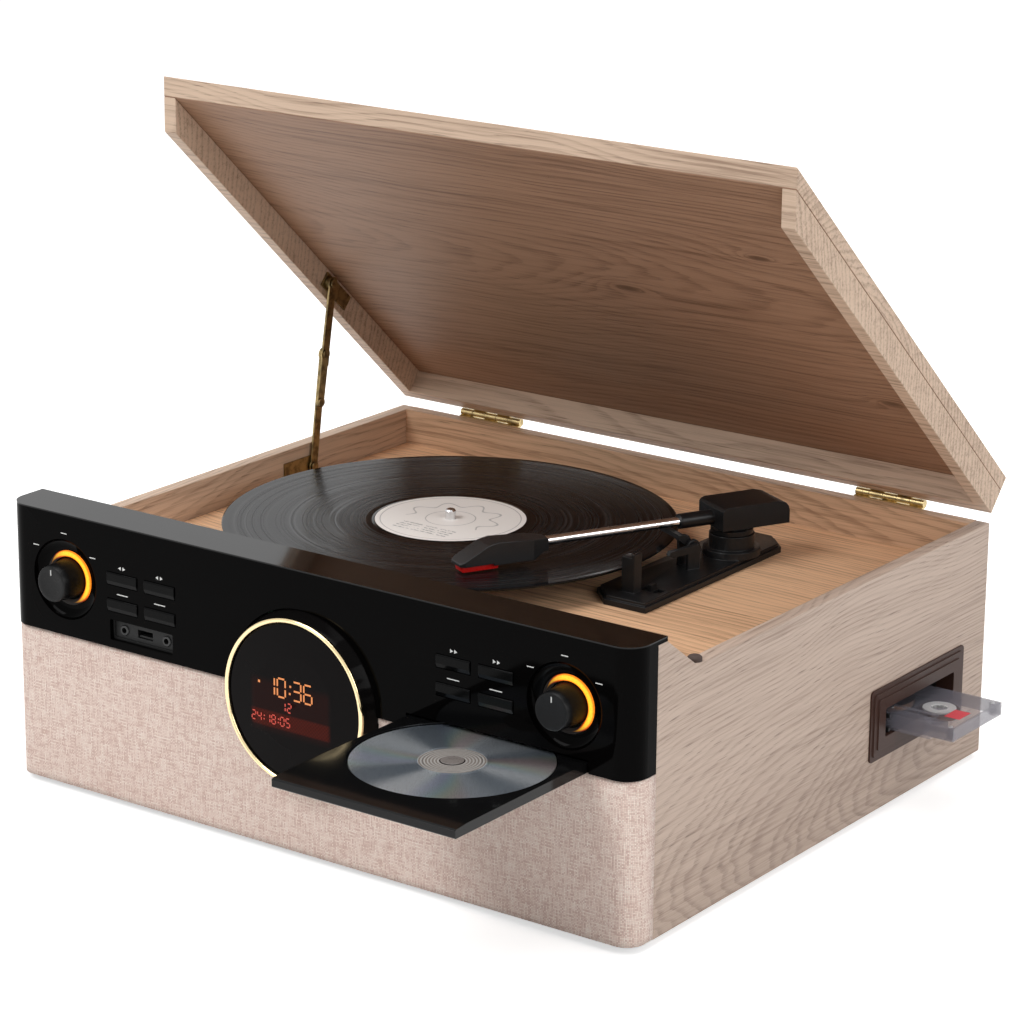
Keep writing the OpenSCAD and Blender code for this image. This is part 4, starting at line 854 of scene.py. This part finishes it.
class MUSIC_OT_fascia(bpy.types.Operator):
    """Gloss front with plain marks by the keys and the socket pocket"""
    bl_idname = "music.fascia"
    bl_label = "Fascia"

    ink_depth = 0.12 * MM

    def arrow(self, bm, x, z, way):
        """Plain triangle that points left or right."""
        verts = rod_mesh(bm, (x, FACE_Y - self.ink_depth / 2, z), (0, 1, 0), 1.4,
                         self.ink_depth / MM, 3)
        turn = Matrix.Rotation(math.radians(30 if way > 0 else -30), 4, "Y")
        bmesh.ops.rotate(bm, verts=verts, cent=(x, FACE_Y, z), matrix=turn)

    def bar(self, bm, x, z, half_length):
        """Plain flat bar."""
        half_height = 0.3 * MM
        box_mesh(bm, (x - half_length, FACE_Y - self.ink_depth, z - half_height),
                 (x + half_length, FACE_Y, z + half_height))

    def execute(self, context):
        lip = corners("fascia")[1].z
        gloss = finish("piano_black", polished_black, (0.0015, 0.0013, 0.0013), level=0.025,
                       lip=lip)
        softened("fascia", "cabinet", gloss, 0.8, 3)
        softened("port_pocket", "cabinet",
                 finish("pocket_black", moulded, (0.012, 0.012, 0.012)), 0.2)
        bm = bmesh.new()
        for side, i in KEYS:
            low, high = corners(f"button_{side}_{i}")
            x, z = (low.x + high.x) / 2, high.z + 3.6 * MM
            if i % 2:
                for k in (-1, 1):
                    self.arrow(bm, x + k * 1.5 * MM, z, 1 if side == "right" else k)
            else:
                self.bar(bm, x, z, 4.5 * MM)
        mark_radius = 30.5 * MM
        for centre in KNOB_CENTRES.values():
            for turn in (38, 90, 142):
                a = math.radians(turn)
                self.bar(bm, centre.x + mark_radius * math.cos(a),
                         centre.z + mark_radius * math.sin(a), 2.4 * MM)
        add_piece("front_marks", bm, "cabinet", ink())
        bm = bmesh.new()
        mid = middle("port_pocket")
        pocket_floor = FACE_Y + 4 * MM
        profile = [(1.9, 0), (3.4, 0), (3.4, 0.5), (3, 0.9), (1.9, 0.9)]
        for x in (-17, 18):
            turned_mesh(bm, profile, (mid.x + x * MM, pocket_floor, mid.z), (0, -1, 0), 32)
        add_piece("socket_rings", bm, "cabinet",
                  finish("socket_black", metal, (0.05, 0.05, 0.05), 0.35))
        return {"FINISHED"}


SEGMENTS = {"0": "abcdef", "1": "bc", "2": "abged", "3": "abgcd", "4": "fgbc", "5": "afgcd",
            "6": "afgedc", "7": "abc", "8": "abcdefg", "9": "abcdfg"}
BARS = {"a": ((0, 1), (1, 1)), "b": ((1, 1), (1, 0.5)), "c": ((1, 0.5), (1, 0)),
        "d": ((0, 0), (1, 0)), "e": ((0, 0), (0, 0.5)), "f": ((0, 0.5), (0, 1)),
        "g": ((0, 0.5), (1, 0.5))}


class MUSIC_OT_display(bpy.types.Operator):
    """Round display: gold bezel, flared housing, dark glass and lit digits"""
    bl_idname = "music.display"
    bl_label = "Display"

    def digits(self, bm, text, left, base, height, thick, y):
        """Row of lit figures made of bars."""
        half_depth = 0.04 * MM
        width = height * 0.52
        x = left
        for sign in text:
            if sign == ":":
                for part in (0.3, 0.7):
                    c = Vector((x + thick * 0.8 + part * height * 0.1, y, base + height * part))
                    half = Vector((thick * 0.6, half_depth, thick * 0.6))
                    box_mesh(bm, c - half, c + half)
                x += thick * 3.4
                continue
            for key in SEGMENTS[sign]:
                a, b = (Vector((x + u * width, y, base + v * height)) for u, v in BARS[key])
                cut = (b - a).normalized() * thick * 0.62
                a, b = a + cut, b - cut
                flat = abs((b - a).x) > abs((b - a).z)
                half = Vector((0 if flat else thick / 2, half_depth, thick / 2 if flat else 0))
                low = Vector((min(a.x, b.x), y, min(a.z, b.z)))
                high = Vector((max(a.x, b.x), y, max(a.z, b.z)))
                box_mesh(bm, low - half, high + half)
            x += width + thick * 2.1

    def execute(self, context):
        gloss = finish("housing_black", polished_black, (0.004, 0.0035, 0.0035))
        softened("display_housing", "cabinet", gloss, 0.6, 3)
        gold = finish("polished_gold", metal, (0.90, 0.72, 0.42), 0.12)
        softened("display_bezel", "cabinet", gold, 0.4, 3)
        dress("display_lens", "cover_glass", smoked_glass)
        front = corners("display_lens")[0].y - 0.12 * MM
        z = BEZEL_CENTRE.z
        bm = bmesh.new()
        self.digits(bm, "10:36", -20 * MM, z + 2.5 * MM, 11.8 * MM, 1.1 * MM, front)
        dot = Vector((-26.8 * MM, front, z + 8.5 * MM))
        box_mesh(bm, dot, dot + Vector((1.6 * MM, 0.06 * MM, 1.6 * MM)))
        add_piece("display_time", bm, "cabinet",
                  finish("lit_amber", lit, tuple(settings().digits), 1.0))
        bm = bmesh.new()
        self.digits(bm, "12", -8.5 * MM, z - 6.2 * MM, 5.6 * MM, 0.8 * MM, front)
        self.digits(bm, "24:18:05", -31.8 * MM, z - 16 * MM, 5.6 * MM, 0.7 * MM, front)
        add_piece("display_counter", bm, "cabinet",
                  finish("lit_red", lit, (0.9, 0.06, 0.02), 0.8))
        return {"FINISHED"}


class MUSIC_OT_controls(bpy.types.Operator):
    """Knobs with fluted caps, their light rings, and the keys"""
    bl_idname = "music.controls"
    bl_label = "Knobs and Keys"

    cap = [(0, 0.4), (8.5, 0.3), (10.3, 0), (11.2, 0.2), (11.9, 1.2), (12.1, 6), (12.4, 12.5),
           (13.1, 16.5), (13.1, 18.9), (0, 18.9)]
    ring = [(14.1, 1.6), (14.1, 0.6), (15.2, 0.2), (16.8, 0), (17.6, 0.2), (17.9, 0.6), (17.9, 1.6)]

    def flutes(self, bm, at):
        """Draws the wall of a knob's cap in and out."""
        count, depth = 48, 0.016
        for v in bm.verts:
            out = Vector((v.co.x - at.x, v.co.z - at.z))
            if 11.7 * MM < out.length < 12.6 * MM:
                a = math.atan2(out.y, out.x)
                out = out * (1 - depth * (0.5 + 0.5 * math.cos(a * count)))
                v.co.x, v.co.z = at.x + out.x, at.z + out.y

    def knob(self, side, centre):
        body = side + "_knob"
        at = Vector((centre.x, corners("knob_" + side)[0].y, centre.z))
        bm = bmesh.new()
        turned_mesh(bm, self.cap, at, (0, 1, 0), 96)
        self.flutes(bm, at)
        black = finish("knob_black", moulded, (0.005, 0.005, 0.0052), 2400, 0.0002, 0.3, 0.1, 0.15)
        cap = add_piece(body + "_cap", bm, body, black)
        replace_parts(cap, "knob_" + side)
        bm = bmesh.new()
        rod_mesh(bm, at + Vector((0, 21 * MM, 0)), (0, 1, 0), 3, 12.5, 24)
        add_piece(body + "_shaft", bm, body, steel())
        bm = bmesh.new()
        box_mesh(bm, at + Vector((-0.3, -0.02, 5.8)) * MM, at + Vector((0.3, 0.6, 9.4)) * MM)
        add_piece(body + "_mark", bm, body, ink())

    def execute(self, context):
        for side, centre in KNOB_CENTRES.items():
            self.knob(side, centre)
        rings = []
        for side, centre in KNOB_CENTRES.items():
            at = Vector((centre.x, corners("light_rings")[0].y, centre.z))
            bm = bmesh.new()
            turned_mesh(bm, self.ring, at, (0, 1, 0), 96)
            glow = finish(side + "_glow", glow_ring, at, tuple(settings().glow), 1.8)
            rings.append(add_piece(side + "_light_ring", bm, "cabinet", glow))
        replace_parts(rings[0], "light_rings")
        black = finish("key_black", polished_black, (0.002, 0.002, 0.0021), 0.12, 0.06)
        for side, i in KEYS:
            softened(f"button_{side}_{i}", f"button_{side}_{i}_key", black, 0.5)
        return {"FINISHED"}


# ---- Disc player ----

class MUSIC_OT_disc_player(bpy.types.Operator):
    """Tray with its disc and the loader behind it"""
    bl_idname = "music.disc_player"
    bl_label = "Disc Player"

    def execute(self, context):
        gloss = finish("tray_black", polished_black, (0.004, 0.004, 0.0042), 0.10, 0.2)
        softened("cd_tray", "tray", gloss, 0.5)
        dress("disc", "disc_silver", read_side, DISC_CENTRE)
        dress("cd_loader", "loader_black", moulded, (0.02, 0.02, 0.02))
        up = (0, 0, 1)
        bm = bmesh.new()
        for inner, outer in ((17.3, 17.6), (21.8, 22)):
            profile = [(inner, 0), (outer, 0), (outer, 0.05), (inner, 0.05)]
            turned_mesh(bm, profile, DISC_TOP, up, 96)
        add_piece("disc_rings", bm, "tray", finish("disc_ring", metal, (0.45, 0.46, 0.48), 0.3))
        bm = bmesh.new()
        profile = [(0, 0.4), (0, 0.6), (3, 0.6), (3.4, 0.5), (5.2, 0.5), (5.6, 0.6), (6.6, 0.6),
                   (7, 0.4)]
        turned_mesh(bm, profile, DISC_TOP, up)
        add_piece("tray_hub_cap", bm, "tray",
                  finish("hub_grey", moulded, (0.16, 0.14, 0.13), 900, 0.00005, 0.3, 0.2, 0.4))
        return {"FINISHED"}


# ---- Cassette player ----

class MUSIC_OT_cassette_player(bpy.types.Operator):
    """Brown surround on the side and the clear cassette in it"""
    bl_idname = "music.cassette_player"
    bl_label = "Cassette Player"

    half_shell = 4.35 * MM
    post_x, post_y = 45.8 * MM, 27.5 * MM

    def reels(self, mid):
        """White hubs with their teeth, and the tape wound on them."""
        hubs, packs = bmesh.new(), bmesh.new()
        for k, wound in ((-1, 21.5), (1, 13.5)):
            at = Vector((mid.x + k * 21.25 * MM, mid.y + 2 * MM, mid.z))
            hub = [(4.7, -3.1), (10.8, -3.1), (10.8, 3.1), (4.7, 3.1)]
            turned_mesh(hubs, hub, at, (0, 0, 1), 48)
            for i in range(6):
                a = math.radians(i * 60)
                c = at + Vector((math.cos(a), math.sin(a), 0)) * 4 * MM
                half = Vector((0.9, 0.5, 3)) * MM
                verts = box_mesh(hubs, c - half, c + half)
                bmesh.ops.rotate(hubs, verts=verts, cent=c, matrix=Matrix.Rotation(a, 3, "Z"))
            pack = [(10.9, -1.9), (wound, -1.9), (wound, 1.9), (10.9, 1.9)]
            turned_mesh(packs, pack, at, (0, 0, 1))
        white = finish("hub_white", moulded, (0.80, 0.80, 0.78), 1200, 0.00005, 0.4, 0.1)
        add_piece("tape_hubs", hubs, "tape", white)
        brown = finish("tape_brown", metal, (0.10, 0.055, 0.035), 0.35)
        add_piece("tape_packs", packs, "tape", brown)

    def inner_walls(self, low, high, mid):
        """Walls and screw posts inside the clear shell."""
        wall, skin = 1.6 * MM, 0.3 * MM
        x0, x1, y0, y1 = low.x + skin, high.x - skin, low.y + skin, high.y - skin
        z0, z1 = mid.z - self.half_shell + skin, mid.z + self.half_shell - skin
        bm = bmesh.new()
        box_mesh(bm, (x0, y0, z0), (x1, y0 + wall, z1))
        box_mesh(bm, (x0, y1 - wall, z0), (x1, y1, z1))
        box_mesh(bm, (x1 - wall, y0 + wall, z0), (x1, y1 - wall, z1))
        box_mesh(bm, (mid.x - 40 * MM, y0 + 10.6 * MM, z0), (mid.x + 40 * MM, y0 + 11.4 * MM, z1))
        for x in (-1, 1):
            for y in (-1, 1):
                rod_mesh(bm, (mid.x + x * self.post_x, mid.y + y * self.post_y, mid.z),
                         (0, 0, 1), 2.3, 7.7, 24)
        add_piece("tape_frame", bm, "tape",
                  finish("frame_clear", clear_shell, (0.24, 0.23, 0.27), 0.38))

    def execute(self, context):
        brown = finish("surround_brown", moulded, (0.050, 0.024, 0.018), 1500, 0.00015, 0.35,
                       0.2, 0.12)
        softened("cassette_surround", "cabinet", brown, 0.4)
        dress("cassette_deck", "deck_black", moulded, (0.015, 0.015, 0.015))
        softened("cassette", "tape",
                 finish("shell_clear", clear_shell, (0.36, 0.35, 0.41), 0.26), 0.4)
        low, high = corners("cassette")
        mid = middle("cassette")
        self.reels(mid)
        self.inner_walls(low, high, mid)
        top = mid.z + self.half_shell
        bm = bmesh.new()
        box_mesh(bm, (mid.x + 33.5 * MM, mid.y - 14 * MM, top),
                 (mid.x + 44.5 * MM, mid.y + MM, top + 0.1 * MM))
        add_piece("tape_patch", bm, "tape", finish("label_red", paper, (0.62, 0.05, 0.07)))
        bm = bmesh.new()
        for x in (-1, 1):
            for y in (-1, 1):
                at = (mid.x + x * self.post_x, mid.y + y * self.post_y, top - 0.45 * MM)
                screw_mesh(bm, at, (0, 0, 1), 1.6, 0.5)
        screw_mesh(bm, (mid.x, mid.y - 22 * MM, mid.z + 5.5 * MM), (0, 0, 1), 1.5, 0.4)
        add_piece("tape_screws", bm, "tape", steel())
        return {"FINISHED"}


# ---- Turntable ----

class MUSIC_OT_turntable(bpy.types.Operator):
    """Platter, mat, record with a plain printed label, spindle and drive"""
    bl_idname = "music.turntable"
    bl_label = "Turntable"

    def execute(self, context):
        dress("platter", "platter_grey", metal, (0.42, 0.42, 0.43), 0.35)
        dress("slip_mat", "felt_mat", soft_rubber, (0.03, 0.03, 0.032))
        dress("motor_pulley", "pulley_brass", metal, (0.75, 0.55, 0.27), 0.25)
        dress("drive_belt", "belt_rubber", soft_rubber, (0.02, 0.02, 0.02))
        dress("platter_motor", "motor_zinc", metal, (0.6, 0.6, 0.6), 0.35)
        centre = tuple(RECORD_TOP)
        dress("record", "vinyl", grooved_vinyl, centre, settings().groove_pitch)
        dress("spindle", "spindle_steel", metal, (0.75, 0.75, 0.76), 0.15)
        bm = bmesh.new()
        profile = [(3.7, 0), (3.7, 0.08), (49.7, 0.08), (50, 0.04), (50, 0)]
        turned_mesh(bm, profile, centre, (0, 0, 1), 128)
        add_piece("record_label", bm, "turntable",
                  finish("label_print", paper, (0.98, 0.94, 0.90), centre))
        return {"FINISHED"}


class MUSIC_OT_tonearm(bpy.types.Operator):
    """Tonearm with its base, rest, cue lever and cartridge"""
    bl_idname = "music.tonearm"
    bl_label = "Tonearm"

    def cartridge(self, black):
        """Cartridge body under the headshell and its red stylus holder."""
        low, high = corners("cartridge")
        pose = Matrix.Translation(ARM_PIVOT) @ Matrix.Rotation(-ARM_TURN, 4, "Z")
        seam, foot = low.z + 3.7 * MM, low.z + 0.2 * MM
        bm = bmesh.new()
        box_mesh(bm, (-0.0068, -0.1765, seam), (0.0068, -0.152, high.z))
        eased(bm, 0.5)
        bmesh.ops.transform(bm, matrix=pose, verts=bm.verts)
        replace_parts(add_piece("cartridge_body", bm, "tonearm", black), "cartridge")
        bm = bmesh.new()
        outline = [(-0.172, seam), (-0.198, seam), (-0.1975, foot), (-0.173, foot)]
        face = bm.faces.new([bm.verts.new((-0.0055, y, z)) for y, z in outline])
        grown = bmesh.ops.extrude_face_region(bm, geom=[face])["geom"]
        bmesh.ops.translate(bm, vec=(0.011, 0, 0),
                            verts=[v for v in grown if isinstance(v, bmesh.types.BMVert)])
        bmesh.ops.recalc_face_normals(bm, faces=bm.faces)
        eased(bm, 0.4)
        bmesh.ops.transform(bm, matrix=pose, verts=bm.verts)
        add_piece("stylus_holder", bm, "tonearm",
                  finish("stylus_red", moulded, (0.62, 0.012, 0.010), 900, 0.00004, 0.3, 0.1))

    def execute(self, context):
        black = finish("arm_black", moulded, (0.007, 0.007, 0.0075), 1600, 0.00012, 0.34, 0.2, 0.25)
        grey = finish("shell_grey", moulded, (0.012, 0.012, 0.013), 1200, 0.0001, 0.32, 0.2, 0.3)
        for node, body, material, width in (
                ("arm_base", "cabinet", black, 0.5), ("arm_yoke", "arm_stage", black, 0.3),
                ("arm_housing", "tonearm", black, 0.8), ("headshell", "tonearm", grey, 0.5),
                ("cue_lever", "cue", black, 0.4), ("speed_lever", "speed", black, 0.4)):
            softened(node, body, material, width)
        dress("arm_tube", "arm_silver", metal, (0.80, 0.80, 0.81), 0.14)
        self.cartridge(black)
        return {"FINISHED"}


# ---- Lid ----

class MUSIC_OT_lid(bpy.types.Operator):
    """Lid boards with veneer, brass hinges and the folding stay"""
    bl_idname = "music.lid"
    bl_label = "Lid"

    def execute(self, context):
        flat = (LID_OPEN, 0, 0)
        closing = Matrix.Rotation(LID_OPEN, 3, "X")
        underside = min((closing @ (v.co - HINGE_LINE)).z
                        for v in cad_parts["lid_top"].data.vertices)
        # The lid's underside is darkened as painted shade, for the shadow inside the open lid.
        board("lid_top", "lid", "oak_lid", turn=flat, move=HINGE_LINE, heart=(-0.22, 0.05),
              rise=0.10, inner=(underside + 0.5 * MM, (0.56, 0.44, 0.37)),
              knots=((0.045, -0.205, 0.006), (0.175, -0.275, 0.005), (0.20, -0.105, 0.005)))
        board("lid_walls", "lid", "oak_lid_walls", turn=flat, move=HINGE_LINE,
              heart=(-0.6, 0.3), rise=0.05)
        bronze = finish("antique_brass", metal, (0.36, 0.27, 0.13), 0.32, (0.10, 0.075, 0.04), 0.8)
        for node, body in (("stay_bracket_lower", "cabinet"), ("stay_bracket_upper", "lid"),
                           ("stay_arm_lower", "lower_arm"), ("stay_arm_upper", "upper_arm")):
            softened(node, body, bronze, 0.3)
        for node in ("hinge_leaves_lower", "hinge_leaves_upper"):
            dress(node, "hinge_brass", metal, (0.62, 0.48, 0.24), 0.3, (0.22, 0.16, 0.08), 0.7)
        return {"FINISHED"}


class MUSIC_OT_inside(bpy.types.Operator):
    """Speakers, boards, transformer and the sockets on the back"""
    bl_idname = "music.inside"
    bl_label = "Inside and Back"

    def execute(self, context):
        for node in ("control_board", "main_board"):
            dress(node, "circuit_green", circuit, (0.03, 0.13, 0.06))
        dress("speakers", "speaker_black", moulded, (0.03, 0.03, 0.03))
        dress("power_unit", "core_steel", metal, (0.35, 0.35, 0.36), 0.45)
        softened("rear_sockets", "cabinet", finish("plate_black", moulded, (0.02, 0.02, 0.02)),
                 0.3)
        out = (0, 1, 0)
        mid, high = middle("rear_sockets"), corners("rear_sockets")[1]
        for name, x, colour in (("left", 10, (0.8, 0.8, 0.78)), ("right", 28, (0.6, 0.04, 0.03))):
            at = Vector((mid.x + x * MM, high.y - 7.2 * MM, mid.z))
            bm = bmesh.new()
            turned_mesh(bm, [(4.3, -0.6), (6.8, -0.6), (6.8, -0.2), (4.3, -0.2)], at, out, 40)
            turned_mesh(bm, [(1.8, 0.6), (3.9, 0.6), (3.9, 7.4), (1.8, 7.4)], at, out, 40)
            add_piece(f"line_ring_{name}", bm, "cabinet",
                      finish(f"ring_{name}", moulded, colour, 900, 0.00004, 0.4, 0.1))
        plate_front = corners("rear_panel")[1].y + 1.6 * MM
        bm = bmesh.new()
        for x in (-54, 54):
            for z in (-18, 18):
                screw_mesh(bm, (mid.x + x * MM, plate_front, mid.z + z * MM), out, 2.6, 0.8)
        add_piece("plate_screws", bm, "cabinet", steel())
        return {"FINISHED"}


BUILDERS = (MUSIC_OT_stage, MUSIC_OT_cabinet, MUSIC_OT_grille, MUSIC_OT_fascia, MUSIC_OT_display,
            MUSIC_OT_controls, MUSIC_OT_disc_player, MUSIC_OT_cassette_player, MUSIC_OT_turntable,
            MUSIC_OT_tonearm, MUSIC_OT_lid, MUSIC_OT_inside)


class MUSIC_PT_panel(bpy.types.Panel):
    """Sizes, colours and pieces of the music centre"""
    bl_idname = "MUSIC_PT_panel"
    bl_label = "Music Centre"
    bl_space_type = "VIEW_3D"
    bl_region_type = "UI"
    bl_category = "Music Centre"

    def draw(self, context):
        column = self.layout.column()
        props = context.scene.music_centre
        for name in props.__annotations__:
            column.prop(props, name)
        for builder in BUILDERS:
            column.operator(builder.bl_idname)


CLASSES = (MusicCentreSettings, *BUILDERS, MUSIC_PT_panel)


def register():
    for item in CLASSES:
        bpy.utils.register_class(item)
    bpy.types.Scene.music_centre = bpy.props.PointerProperty(type=MusicCentreSettings)


def unregister():
    del bpy.types.Scene.music_centre
    for item in reversed(CLASSES):
        bpy.utils.unregister_class(item)


def main():
    """Builds everything in order."""
    register()
    for builder in BUILDERS:
        group, name = builder.bl_idname.split(".")
        getattr(getattr(bpy.ops, group), name)()


if __name__ == "__main__":
    main()
